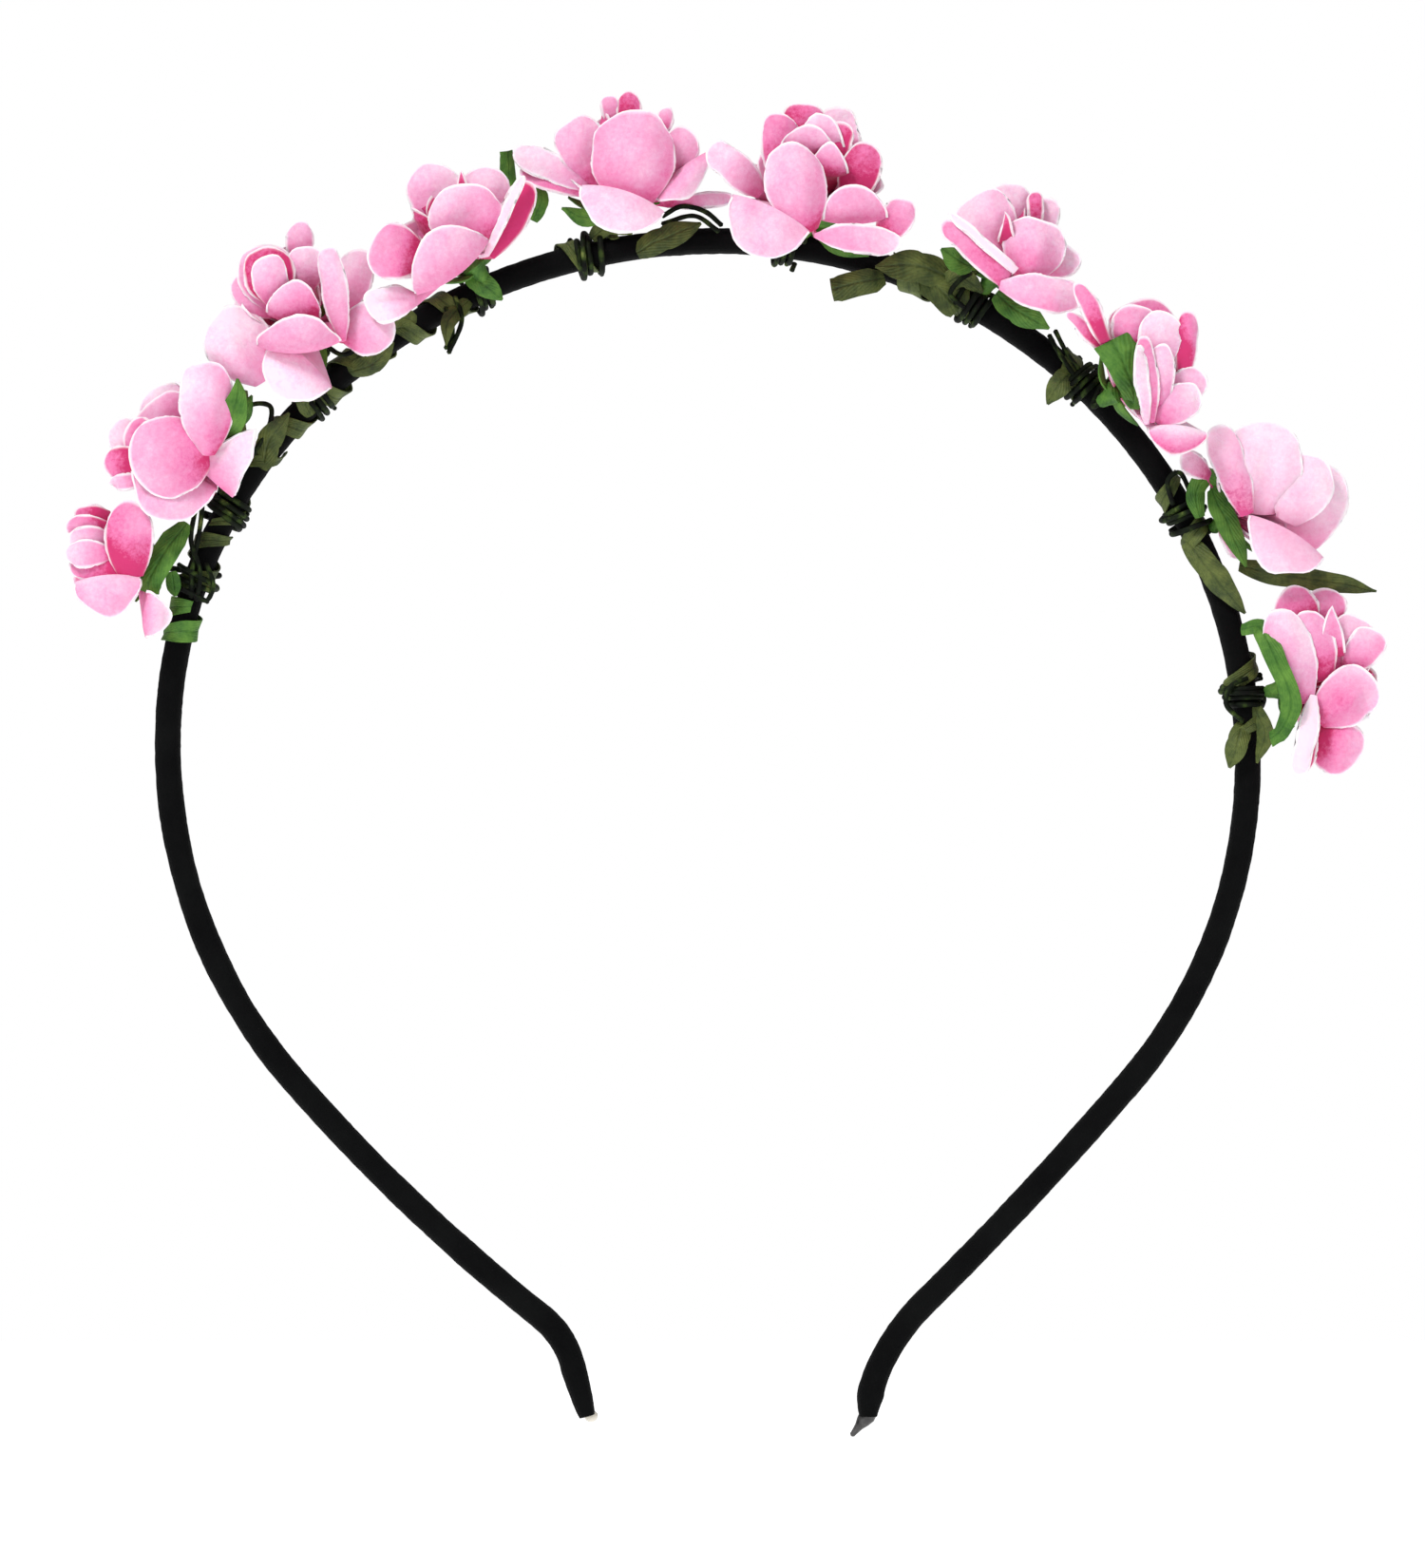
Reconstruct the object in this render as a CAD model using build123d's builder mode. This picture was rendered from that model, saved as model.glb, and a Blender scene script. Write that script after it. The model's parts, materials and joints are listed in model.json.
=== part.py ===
"""Flower crown: a springy fabric-covered head band with ten wired paper roses.

Frame: the origin is the centre of the head opening, +Z points up through the crown of the band,
+X towards the band's right leg, and -Y towards the side that the roses face. All in millimetres.
"""

import os
from math import atan2, cos, degrees, hypot, radians, sin, tan

from build123d import *

# ---------------------------------------------------------------- driving dimensions
# The band's centreline lies in the XZ plane. It passes through these points (x, z) as arcs that touch
# each other, from the left flex axis over the crown to the right one, and from each down its leg.
LEFT_FLEX = (-70.5, 9)
LEFT_FLEX_HEADING = 86  # degrees above +X
RIGHT_FLEX = (70.5, -9)
CROWN_POINTS = [(-47, 53.5), (0, 70.5), (61, 38), RIGHT_FLEX]
LEFT_LEG_POINTS = [(-54, -40), (-21.5, -71), (-17.5, -77), (-15.5, -84)]
RIGHT_LEG_POINTS = [(56, -40), (29, -69), (23, -77.5), (21.5, -85.5)]

COVER_WIDTH = 4.8  # covered band, along Y
COVER_THICKNESS = 3.4  # covered band, across
COVER_ROUNDING = 1.5
CORE_WIDTH = 3.6  # spring steel strip inside the cover
CORE_THICKNESS = 1.0
CORE_GAP = 0.05
CORE_SHORT_OF_TIP = 2.0
CORE_SHORT_OF_FLEX = 2.6
FLEX_GAP = 0.1  # between a leg's rounded top and the socket in the crown
FLEX_STEP = 0.03  # the rounded top lies that far inside the leg's own section
TIP_GAP = 0.02  # between a leg's end face and the glue on it
TIP_BEAD_RADIUS = 0.9
TIP_BEAD_OFFSET = 0.6  # the bead sits towards the outside of the end face
TIP_NIB_LENGTH = 3.0
TIP_NIB_ROOT = (2.4, 1.5, 0.6)  # width, thickness and corner radius
TIP_NIB_POINT = (0.9, 0.5, 0.2)
TIP_NIB_DROOP = 0.3

WIRE_RADIUS = 0.5  # stem wire in its paper tape
COIL_PITCH = 1.3
COIL_GAP = 0.15  # between a coil and the cover
COIL_CORNER = 1.3  # bend radius of the wire round the band
STEM_DROP = 2.2  # straight run of a stem below its rose

PETAL_THICKNESS = 0.4
ROSE_MIDDLE = 6.0  # height of a rose's middle above its base
# Petals are round dishes on nested spheres: (sphere radius, height of its lowest point, reach of the
# petal up the sphere in degrees from that point, heading about the rose's axis).
INNER_PETALS = [(4.0, 5.0, 125, 0), (4.7, 4.3, 115, 125), (5.5, 3.6, 105, 250)]
OUTER_PETALS = [
    (6.5, 2.9, 95, 40),
    (7.6, 2.3, 84, 175),
    (8.9, 1.7, 74, 300),
    (10.4, 1.1, 64, 100),
    (12.0, 0.5, 56, 235),
]
NECK_RADIUS = 0.8  # bud's stalk, which the petals are glued round
NECK_CLEARANCE = 0.1
BUD_RADIUS = 3.2
BUD_FOOT = 0.25  # height of the stalk's foot above the rose's base
BUD_MIDDLE = 9.0
BUD_SLIT_RINGS = (0.35, 0.62)  # shares of the bud's radius
BUD_SLIT_SWEEP = 250  # degrees
BUD_SLIT_WIDTH = 0.22
BUD_SLIT_DEPTH = 1.6
CALYX_RADIUS = 12.7
CALYX_WALL = 0.35
CALYX_REACH = 7.0  # length of a sepal from the axis
SEPALS = 5
SEPAL_RISE = 40  # degrees up the calyx's sphere
SEPAL_BELLY = 3.6  # distance of a sepal's widest place from the axis
SEPAL_HALF_WIDTH = 1.5
SEPAL_ROOT_HALF_WIDTH = 1.2
COLLAR_RADIUS = 1.35
COLLAR_HEIGHT = 1.2
COLLAR_OVERLAP = 0.2  # of the collar into the sepals
COLLAR_BORE_GAP = 0.05  # round the wire

# name: (middle x, y, z, lean from +Z towards +X, tilt towards -Y, size, turn about its axis,
#        coil's start along the crown, coil's direction, first corner of the coil, turns)
ROSES = {
    "rose_01": (-78.4, -3.0, 28.6, -82, 14, 0.88, 10, 19.0, -1, 0, 3),
    "rose_02": (-69.2, -4.5, 44.2, -106, 18, 0.90, 60, 35.0, -1, 0, 3),
    "rose_03": (-54.6, -6.5, 62.2, -38, 36, 1.10, 110, 49.0, -1, 0, 2),
    "rose_04": (-33.6, -9.0, 71.2, -38, 10, 0.95, 20, 73.0, -1, 1, 3),
    "rose_05": (-11.5, -3.0, 81.4, 3, 10, 1.08, 0, 88.5, -1, 0, 3),
    "rose_06": (13.8, -8.0, 79.0, 5, 28, 1.10, 50, 115.0, -1, 1, 2),
    "rose_07": (40.6, -3.5, 70.2, 32, 10, 0.90, 80, 137.4, -1, 0, 4),
    "rose_08": (58.2, -8.0, 52.8, 60, 15, 0.90, 130, 158.5, -1, 1, 3),
    "rose_09": (73.4, -3.0, 37.2, 56, 12, 1.00, 15, 178.5, -1, 0, 3),
    "rose_10": (82.2, -3.0, 12.4, 82, 8, 1.05, 95, 205.2, 1, 0, 3),
}

# Cut leaves of green floral paper: (root x, root z, tip x, tip z, width, y)
LEAF_THICKNESS = 0.3
LEAVES = [
    (-69.2, 21.6, -65.4, 18.8, 3.0, -4.4),
    (-62.5, 50.6, -60.4, 44.0, 2.6, 4.4),
    (-52.6, 47.0, -57.0, 41.4, 3.2, -4.4),
    (-44.4, 57.6, -50.2, 51.8, 3.2, -4.4),
    (-41.0, 55.2, -34.4, 60.8, 3.0, -4.4),
    (-27.2, 66.6, -20.0, 66.4, 3.2, -4.4),
    (-8.4, 67.6, -1.2, 71.8, 3.2, -4.4),
    (17.0, 64.8, 25.0, 65.6, 3.4, -4.4),
    (25.4, 67.4, 32.0, 62.4, 3.4, 4.4),
    (38.4, 62.8, 44.4, 58.0, 3.2, -4.4),
    (49.4, 55.6, 56.4, 50.0, 3.6, 4.6),
    (43.4, 55.0, 46.2, 51.4, 3.0, 4.4),
    (64.2, 33.6, 70.4, 21.4, 3.2, -4.4),
    (72.0, 27.0, 88.0, 24.6, 2.8, 4.6),
    (70.2, 19.6, 73.2, 9.4, 2.4, 4.4),
    (72.0, 7.0, 69.0, -1.0, 3.0, 4.4),
]


# ---------------------------------------------------------------- the band's centreline
def arcs_through(point, heading, points):
    """Arcs (radius, turn in degrees; left is positive) through the points, each touching the last."""
    arcs = []
    for x, z in points:
        across, up = x - point[0], z - point[1]
        half_turn = (degrees(atan2(up, across)) - heading + 180) % 360 - 180
        arcs.append((hypot(across, up) / (2 * sin(radians(abs(half_turn)))), 2 * half_turn))
        heading += 2 * half_turn
        point = (x, z)
    return arcs


def advance(point, heading, radius, turn):
    """The end point and heading of one arc."""
    x, z = point
    a = radians(heading)
    b = radians(heading + turn)
    side = 1 if turn > 0 else -1
    x += side * radius * (sin(b) - sin(a))
    z += side * radius * (cos(a) - cos(b))
    return (x, z), heading + turn


def split(radius, turn, length):
    """The first stretch of an arc, as the same kind of pair."""
    return radius, degrees(length / radius) * (1 if turn > 0 else -1)


def run_length(radius, turn):
    return radius * radians(abs(turn))


def station(point, heading, arcs, distance):
    """The centreline's point and heading that far along a chain of arcs."""
    for radius, turn in arcs:
        length = run_length(radius, turn)
        if distance <= length:
            return advance(point, heading, *split(radius, turn, distance))
        point, heading = advance(point, heading, radius, turn)
        distance -= length
    return point, heading


def chain_length(arcs):
    return sum(run_length(radius, turn) for radius, turn in arcs)


def band_path(point, heading, arcs, begin, end):
    """The centreline between two distances along a chain of arcs."""
    travelled = 0.0
    with BuildLine(Plane.XZ) as path:
        for radius, turn in arcs:
            length = run_length(radius, turn)
            a = max(begin - travelled, 0.0)
            b = min(end - travelled, length)
            if b - a > 1e-6:
                start, direction = advance(point, heading, *split(radius, turn, a))
                aim = (cos(radians(direction)), sin(radians(direction)))
                part_radius, part_turn = split(radius, turn, b - a)
                JernArc(start=start, tangent=aim, radius=part_radius, arc_size=part_turn)
            point, heading = advance(point, heading, radius, turn)
            travelled += length
    return path.line


def band_tube(point, heading, arcs, begin, end, width, thickness, rounding=0.0):
    """A stretch of band with one section along its whole length."""
    (x, z), aim = station(point, heading, arcs, begin)
    across = Plane(
        origin=(x, 0, z), x_dir=(0, 1, 0), z_dir=(cos(radians(aim)), 0, sin(radians(aim)))
    )
    with BuildPart() as tube:
        with BuildSketch(across):
            if rounding:
                RectangleRounded(width, thickness, rounding)
            else:
                Rectangle(width, thickness)
        sweep(path=band_path(point, heading, arcs, begin, end))
    return tube.part


def flex_disc(point, radius, width, rounding=0.0):
    """A disc on a flex axis, which lies along Y."""
    with BuildPart() as disc:
        with Locations((point[0], 0, point[1])):
            Cylinder(radius, width, rotation=(90, 0, 0))
        if rounding:
            fillet(disc.edges().filter_by(GeomType.CIRCLE), rounding)
    return disc.part


def chain_through(point, heading, points):
    """A start point, its heading and the arcs from it through the other points."""
    return point, heading, arcs_through(point, heading, points)


CROWN_CHAIN = chain_through(LEFT_FLEX, LEFT_FLEX_HEADING, CROWN_POINTS)
CROWN_LENGTH = chain_length(CROWN_CHAIN[2])
RIGHT_FLEX_HEADING = station(*CROWN_CHAIN, CROWN_LENGTH)[1]
LEFT_LEG_CHAIN = chain_through(LEFT_FLEX, LEFT_FLEX_HEADING + 180, LEFT_LEG_POINTS)
RIGHT_LEG_CHAIN = chain_through(RIGHT_FLEX, RIGHT_FLEX_HEADING, RIGHT_LEG_POINTS)
COVER_SECTION = (COVER_WIDTH, COVER_THICKNESS, COVER_ROUNDING)
CORE_ROOM = (CORE_WIDTH + 2 * CORE_GAP, CORE_THICKNESS + 2 * CORE_GAP)
HALF_THICKNESS = COVER_THICKNESS / 2

os.makedirs("parts", exist_ok=True)

# ---------------------------------------------------------------- crown of the band
core_from, core_to = CORE_SHORT_OF_FLEX, CROWN_LENGTH - CORE_SHORT_OF_FLEX
with BuildPart() as crown_cover:
    add(band_tube(*CROWN_CHAIN, 0.0, CROWN_LENGTH, *COVER_SECTION))
    add(
        band_tube(*CROWN_CHAIN, core_from - CORE_GAP, core_to + CORE_GAP, *CORE_ROOM),
        mode=Mode.SUBTRACT,
    )
    for flex_point in (LEFT_FLEX, RIGHT_FLEX):
        add(flex_disc(flex_point, HALF_THICKNESS + FLEX_GAP, COVER_WIDTH + 2), mode=Mode.SUBTRACT)
crown_cover.part.label = "crown_cover"
export_step(crown_cover.part, "parts/crown_cover.step")

with BuildPart() as crown_core:
    add(band_tube(*CROWN_CHAIN, core_from, core_to, CORE_WIDTH, CORE_THICKNESS))
crown_core.part.label = "crown_core"
export_step(crown_core.part, "parts/crown_core.step")

# ---------------------------------------------------------------- the two legs
for side, leg_chain in (("left", LEFT_LEG_CHAIN), ("right", RIGHT_LEG_CHAIN)):
    leg_length = chain_length(leg_chain[2])
    core_end = leg_length - CORE_SHORT_OF_TIP
    with BuildPart() as leg_cover:
        add(band_tube(*leg_chain, 0.0, leg_length, *COVER_SECTION))
        add(
            flex_disc(
                leg_chain[0],
                HALF_THICKNESS - FLEX_STEP,
                COVER_WIDTH - 2 * FLEX_STEP,
                COVER_ROUNDING - FLEX_STEP,
            )
        )
        add(
            band_tube(
                *leg_chain, CORE_SHORT_OF_FLEX - CORE_GAP, core_end + CORE_GAP, *CORE_ROOM
            ),
            mode=Mode.SUBTRACT,
        )
    leg_cover.part.label = f"{side}_leg_cover"
    export_step(leg_cover.part, f"parts/{side}_leg_cover.step")

    with BuildPart() as leg_core:
        add(band_tube(*leg_chain, CORE_SHORT_OF_FLEX, core_end, CORE_WIDTH, CORE_THICKNESS))
    leg_core.part.label = f"{side}_leg_core"
    export_step(leg_core.part, f"parts/{side}_leg_core.step")


def tip_plane(chain):
    """The end face of a leg, with its Z pointing off the end."""
    (x, z), aim = station(*chain, chain_length(chain[2]))
    return Plane(
        origin=(x, 0, z), x_dir=(0, 1, 0), z_dir=(cos(radians(aim)), 0, sin(radians(aim)))
    )


with BuildPart() as left_tip_bead:
    with BuildSketch(tip_plane(LEFT_LEG_CHAIN).offset(TIP_GAP)):
        with Locations((0, TIP_BEAD_OFFSET)):
            Circle(TIP_BEAD_RADIUS)
    extrude(amount=TIP_BEAD_RADIUS)
    fillet(left_tip_bead.faces().sort_by(Axis.Z)[0].edges(), TIP_BEAD_RADIUS * 0.8)
left_tip_bead.part.label = "left_tip_bead"
export_step(left_tip_bead.part, "parts/left_tip_bead.step")

nib_plane = tip_plane(RIGHT_LEG_CHAIN).offset(TIP_GAP)
with BuildPart() as right_tip_nib:
    with BuildSketch(nib_plane):
        RectangleRounded(*TIP_NIB_ROOT)
    with BuildSketch(nib_plane.offset(TIP_NIB_LENGTH)):
        with Locations((0, -TIP_NIB_DROOP)):
            RectangleRounded(*TIP_NIB_POINT)
    loft()
right_tip_nib.part.label = "right_tip_nib"
export_step(right_tip_nib.part, "parts/right_tip_nib.step")


# ---------------------------------------------------------------- roses, each about its own axis
def rose_frame(middle, lean, tilt, size, spin):
    """A rose's base, with Z along its axis."""
    a, b = radians(lean), radians(tilt)
    axis = Vector(sin(a) * cos(b), -sin(b), cos(a) * cos(b))
    side = axis.cross(Vector(0, 1, 0)).normalized()
    up = axis.cross(side)
    base = Vector(*middle) - axis * ROSE_MIDDLE * size
    turned = side * cos(radians(spin)) + up * sin(radians(spin))
    return Plane(origin=base, x_dir=turned, z_dir=axis)


def petal(radius, low, reach, heading, size):
    """One round dished petal, from the stalk up to its rim, in the rose's own axes."""
    radius, low = radius * size, low * size
    near = degrees((NECK_RADIUS + NECK_CLEARANCE) / radius)
    half = (reach - near) / 2
    tilt = (reach + near) / 2
    inner = radius - PETAL_THICKNESS
    with BuildPart() as dish:
        with BuildSketch(Plane.XZ):
            with BuildLine():
                outer_arc = CenterArc((0, 0), radius, -90, half)
                inner_arc = CenterArc((0, 0), inner, -90, half)
                Line(outer_arc @ 0, inner_arc @ 0)
                Line(outer_arc @ 1, inner_arc @ 1)
            make_face()
        revolve(axis=Axis.Z)
    turned = Location((0, 0, low + radius)) * Rotation(0, 0, heading) * Rotation(0, -tilt, 0)
    return turned * dish.part


def bud(size):
    """A rolled bud on its stalk, with the roll's slit winding in from its top."""
    middle = BUD_MIDDLE * size
    radius = BUD_RADIUS * size
    top = middle + radius
    with BuildPart() as roll:
        with BuildSketch(Plane.XZ):
            with BuildLine():
                stalk_foot = Line((0, BUD_FOOT), (NECK_RADIUS, BUD_FOOT))
                stalk = Line(stalk_foot @ 1, (NECK_RADIUS, middle - radius + 0.05))
                swell = ThreePointArc(
                    stalk @ 1, (radius * 0.82, middle - radius * 0.45), (radius, middle)
                )
                shoulder = ThreePointArc(
                    swell @ 1, (radius * 0.8, middle + radius * 0.7), (radius * 0.45, top)
                )
                Line(shoulder @ 1, (0, top))
                Line((0, top), (0, BUD_FOOT))
            make_face()
        revolve(axis=Axis.Z)
        with BuildSketch(Plane.XY.offset(top)):
            for turn, ring in enumerate(BUD_SLIT_RINGS):
                with BuildLine():
                    wide = CenterArc((0, 0), radius * ring, 90 * turn, BUD_SLIT_SWEEP)
                    tight = CenterArc(
                        (0, 0), radius * ring - BUD_SLIT_WIDTH, 90 * turn, BUD_SLIT_SWEEP
                    )
                    Line(wide @ 0, tight @ 0)
                    Line(wide @ 1, tight @ 1)
                make_face()
        extrude(amount=-BUD_SLIT_DEPTH * size, mode=Mode.SUBTRACT)
    return roll.part


def calyx(size):
    """Five sepals under the rose, on a collar round the top of its wire."""
    outer = CALYX_RADIUS * size
    centre = (OUTER_PETALS[-1][0] + OUTER_PETALS[-1][1]) * size
    with BuildPart() as cup:
        with BuildSketch(Plane.XZ):
            with BuildLine():
                outer_arc = CenterArc((0, centre), outer, -90, SEPAL_RISE)
                inner_arc = CenterArc((0, centre), outer - CALYX_WALL, -90, SEPAL_RISE)
                Line(outer_arc @ 0, inner_arc @ 0)
                Line(outer_arc @ 1, inner_arc @ 1)
            make_face()
        revolve(axis=Axis.Z)
        with BuildSketch(Plane.XY.offset(-2)):
            Circle(COLLAR_RADIUS + 0.3)
            with PolarLocations(0, SEPALS):
                Polygon(
                    (0, -SEPAL_ROOT_HALF_WIDTH),
                    (SEPAL_BELLY * size, -SEPAL_HALF_WIDTH),
                    (CALYX_REACH * size, 0),
                    (SEPAL_BELLY * size, SEPAL_HALF_WIDTH),
                    (0, SEPAL_ROOT_HALF_WIDTH),
                    align=None,
                )
        extrude(amount=10 * size, mode=Mode.INTERSECT)
        low = centre - outer
        with Locations((0, 0, low - COLLAR_HEIGHT + COLLAR_OVERLAP)):
            Cylinder(COLLAR_RADIUS, COLLAR_HEIGHT, align=(Align.CENTER, Align.CENTER, Align.MIN))
        with Locations((0, 0, low - COLLAR_HEIGHT)):
            Cylinder(
                WIRE_RADIUS + COLLAR_BORE_GAP,
                COLLAR_HEIGHT,
                align=(Align.CENTER, Align.CENTER, Align.MIN),
                mode=Mode.SUBTRACT,
            )
    return cup.part


def stem_points(frame, size, start, direction, first_corner, turns):
    """The wire's corners, from inside the collar down to the band and round it."""
    low = (OUTER_PETALS[-1][0] + OUTER_PETALS[-1][1] - CALYX_RADIUS) * size
    points = [frame.origin + frame.z_dir * (low - 0.05)]
    points.append(frame.origin - frame.z_dir * STEM_DROP)
    reach_y = COVER_WIDTH / 2 + COIL_GAP + WIRE_RADIUS
    reach_n = HALF_THICKNESS + COIL_GAP + WIRE_RADIUS
    corners = [(-1, 1), (-1, -1), (1, -1), (1, 1)]
    for step in range(turns * 4 + 1):
        y_side, n_side = corners[(first_corner + step) % 4]
        distance = start + direction * COIL_PITCH * step / 4
        (x, z), heading = station(*CROWN_CHAIN, distance)
        h = radians(heading)
        outward = Vector(-sin(h), 0, cos(h))
        points.append(Vector(x, 0, z) + outward * reach_n * n_side + Vector(0, reach_y * y_side, 0))
    return points


def wire(points):
    """A round wire through its corners, with every bend rounded."""
    with BuildPart() as strand:
        with BuildLine() as route:
            here = points[0]
            for before, corner, after in zip(points, points[1:], points[2:]):
                back = (before - corner).normalized()
                onward = (after - corner).normalized()
                half = radians(back.get_angle(onward) / 2)
                middle = (back + onward).normalized()
                bend_start = corner + back * (COIL_CORNER / tan(half))
                bend_end = corner + onward * (COIL_CORNER / tan(half))
                bend_middle = corner + middle * (COIL_CORNER / sin(half) - COIL_CORNER)
                Line(here, bend_start)
                ThreePointArc(bend_start, bend_middle, bend_end)
                here = bend_end
            Line(here, points[-1])
        with BuildSketch(Plane(origin=points[0], z_dir=points[1] - points[0])):
            Circle(WIRE_RADIUS)
        sweep(path=route.line)
    return strand.part


for name, rose in ROSES.items():
    x, y, z, lean, tilt, size, spin, start, direction, first_corner, turns = rose
    frame = rose_frame((x, y, z), lean, tilt, size, spin)

    with BuildPart() as rose_bud:
        add(frame.location * bud(size))
    rose_bud.part.label = f"{name}_bud"
    export_step(rose_bud.part, f"parts/{name}_bud.step")

    with BuildPart() as inner_petals:
        for dims in INNER_PETALS:
            add(frame.location * petal(*dims, size))
    inner_petals.part.label = f"{name}_inner_petals"
    export_step(inner_petals.part, f"parts/{name}_inner_petals.step")

    with BuildPart() as outer_petals:
        for dims in OUTER_PETALS:
            add(frame.location * petal(*dims, size))
    outer_petals.part.label = f"{name}_outer_petals"
    export_step(outer_petals.part, f"parts/{name}_outer_petals.step")

    with BuildPart() as rose_calyx:
        add(frame.location * calyx(size))
    rose_calyx.part.label = f"{name}_calyx"
    export_step(rose_calyx.part, f"parts/{name}_calyx.step")

    with BuildPart() as stem:
        add(wire(stem_points(frame, size, start, direction, first_corner, turns)))
    stem.part.label = f"{name}_stem"
    export_step(stem.part, f"parts/{name}_stem.step")


# ---------------------------------------------------------------- cut paper leaves on the band
def leaf(root, tip, width, y):
    """A flat pointed leaf, parallel to the band's plane."""
    along = Vector(tip[0] - root[0], tip[1] - root[1])
    side = Vector(-along.Y, along.X).normalized() * width / 2
    belly = Vector(*root) + along * 0.42
    with BuildPart() as blade:
        with BuildSketch(Plane.XZ.offset(-y)):
            with BuildLine():
                ThreePointArc(root, belly + side, tip)
                ThreePointArc(tip, belly - side, root)
            make_face()
        extrude(amount=LEAF_THICKNESS / 2, both=True)
    return blade.part


with BuildPart() as paper_leaves:
    for root_x, root_z, tip_x, tip_z, width, y in LEAVES:
        add(leaf((root_x, root_z), (tip_x, tip_z), width, y))
paper_leaves.part.label = "paper_leaves"
export_step(paper_leaves.part, "parts/paper_leaves.step")
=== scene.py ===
"""Flower crown: the looks of a fabric-covered spring head band with ten wired paper roses."""

import json
import random
from math import atan2, cos, degrees, exp, hypot, pi, radians, sin, sqrt

import bpy
from mathutils import Matrix, Vector, noise


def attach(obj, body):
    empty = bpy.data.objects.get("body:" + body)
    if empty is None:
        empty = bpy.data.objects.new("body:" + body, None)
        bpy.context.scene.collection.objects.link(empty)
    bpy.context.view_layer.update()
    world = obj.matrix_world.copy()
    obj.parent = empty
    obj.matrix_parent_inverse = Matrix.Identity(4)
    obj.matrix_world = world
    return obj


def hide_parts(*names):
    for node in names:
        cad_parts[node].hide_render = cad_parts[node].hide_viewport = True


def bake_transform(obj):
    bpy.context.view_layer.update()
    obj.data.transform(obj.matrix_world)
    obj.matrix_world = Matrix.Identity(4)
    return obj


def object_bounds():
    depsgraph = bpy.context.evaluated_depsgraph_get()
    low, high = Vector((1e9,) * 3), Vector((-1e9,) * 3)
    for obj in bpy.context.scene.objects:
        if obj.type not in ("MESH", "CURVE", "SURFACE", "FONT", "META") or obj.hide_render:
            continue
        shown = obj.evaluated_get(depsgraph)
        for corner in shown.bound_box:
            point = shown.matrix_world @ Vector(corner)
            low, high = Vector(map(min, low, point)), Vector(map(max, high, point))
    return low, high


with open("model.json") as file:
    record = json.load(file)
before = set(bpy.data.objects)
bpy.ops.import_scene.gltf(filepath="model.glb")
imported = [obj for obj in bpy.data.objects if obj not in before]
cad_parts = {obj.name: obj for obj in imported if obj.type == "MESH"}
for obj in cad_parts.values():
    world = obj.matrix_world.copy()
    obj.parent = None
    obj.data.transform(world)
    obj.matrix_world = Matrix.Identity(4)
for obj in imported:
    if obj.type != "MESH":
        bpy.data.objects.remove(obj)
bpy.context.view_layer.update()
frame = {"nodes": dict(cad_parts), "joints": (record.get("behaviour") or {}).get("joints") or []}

MM = 0.001

# ---------------------------------------------------------------- the band, in millimetres
# The centreline passes through these points (x, z) as arcs that touch each other: from the left flex
# axis over the crown to the right one, and from each flex axis down its leg to the tip.
CROWN_POINTS = [(-47, 53.5), (0, 70.5), (61, 38)]
LEFT_LEG_POINTS = [(-54, -40), (-21.5, -71), (-17.5, -77), (-15.5, -84)]
RIGHT_LEG_POINTS = [(56, -40), (29, -69), (23, -77.5), (21.5, -85.5)]
FLEX_HEADING = 86
HALF_WIDTH = 2.4
HALF_THICKNESS = 1.7
joints = {joint["name"]: joint for joint in frame["joints"]}
LEFT_FLEX = Vector(joints["left_leg_flex"]["pos_m"]) / MM
RIGHT_FLEX = Vector(joints["right_leg_flex"]["pos_m"]) / MM
DEPTH = Vector((0, 1, 0))


def arcs_through(point, heading, points):
    """Arcs (radius, turn in degrees) through the points, each touching the one before it."""
    arcs = []
    for x, z in points:
        across, up = x - point[0], z - point[1]
        half_turn = (degrees(atan2(up, across)) - heading + 180) % 360 - 180
        arcs.append((hypot(across, up) / (2 * sin(radians(abs(half_turn)))), 2 * half_turn))
        heading += 2 * half_turn
        point = (x, z)
    return arcs


def run_length(radius, turn):
    return radius * radians(abs(turn))


def advance(point, heading, radius, turn):
    """The end point and heading of an arc."""
    x, z = point
    a = radians(heading)
    b = radians(heading + turn)
    side = 1 if turn > 0 else -1
    return (x + side * radius * (sin(b) - sin(a)), z + side * radius * (cos(a) - cos(b))), heading + turn


LEFT_START = (LEFT_FLEX.x, LEFT_FLEX.z)
RIGHT_START = (RIGHT_FLEX.x, RIGHT_FLEX.z)
CROWN_ARCS = arcs_through(LEFT_START, FLEX_HEADING, CROWN_POINTS + [RIGHT_START])
LEFT_LEG_ARCS = arcs_through(LEFT_START, FLEX_HEADING + 180, LEFT_LEG_POINTS)
RIGHT_HEADING = FLEX_HEADING + sum(turn for _, turn in CROWN_ARCS)
RIGHT_LEG_ARCS = arcs_through(RIGHT_START, RIGHT_HEADING, RIGHT_LEG_POINTS)
LEFT_LENGTH = sum(run_length(*arc) for arc in LEFT_LEG_ARCS)
CROWN_LENGTH = sum(run_length(*arc) for arc in CROWN_ARCS)
RIGHT_LENGTH = sum(run_length(*arc) for arc in RIGHT_LEG_ARCS)


def walk(point, heading, arcs, distance):
    for radius, turn in arcs:
        length = run_length(radius, turn)
        if distance <= length:
            share = distance / length
            return advance(point, heading, radius, turn * share)
        point, heading = advance(point, heading, radius, turn)
        distance -= length
    return point, heading


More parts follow.
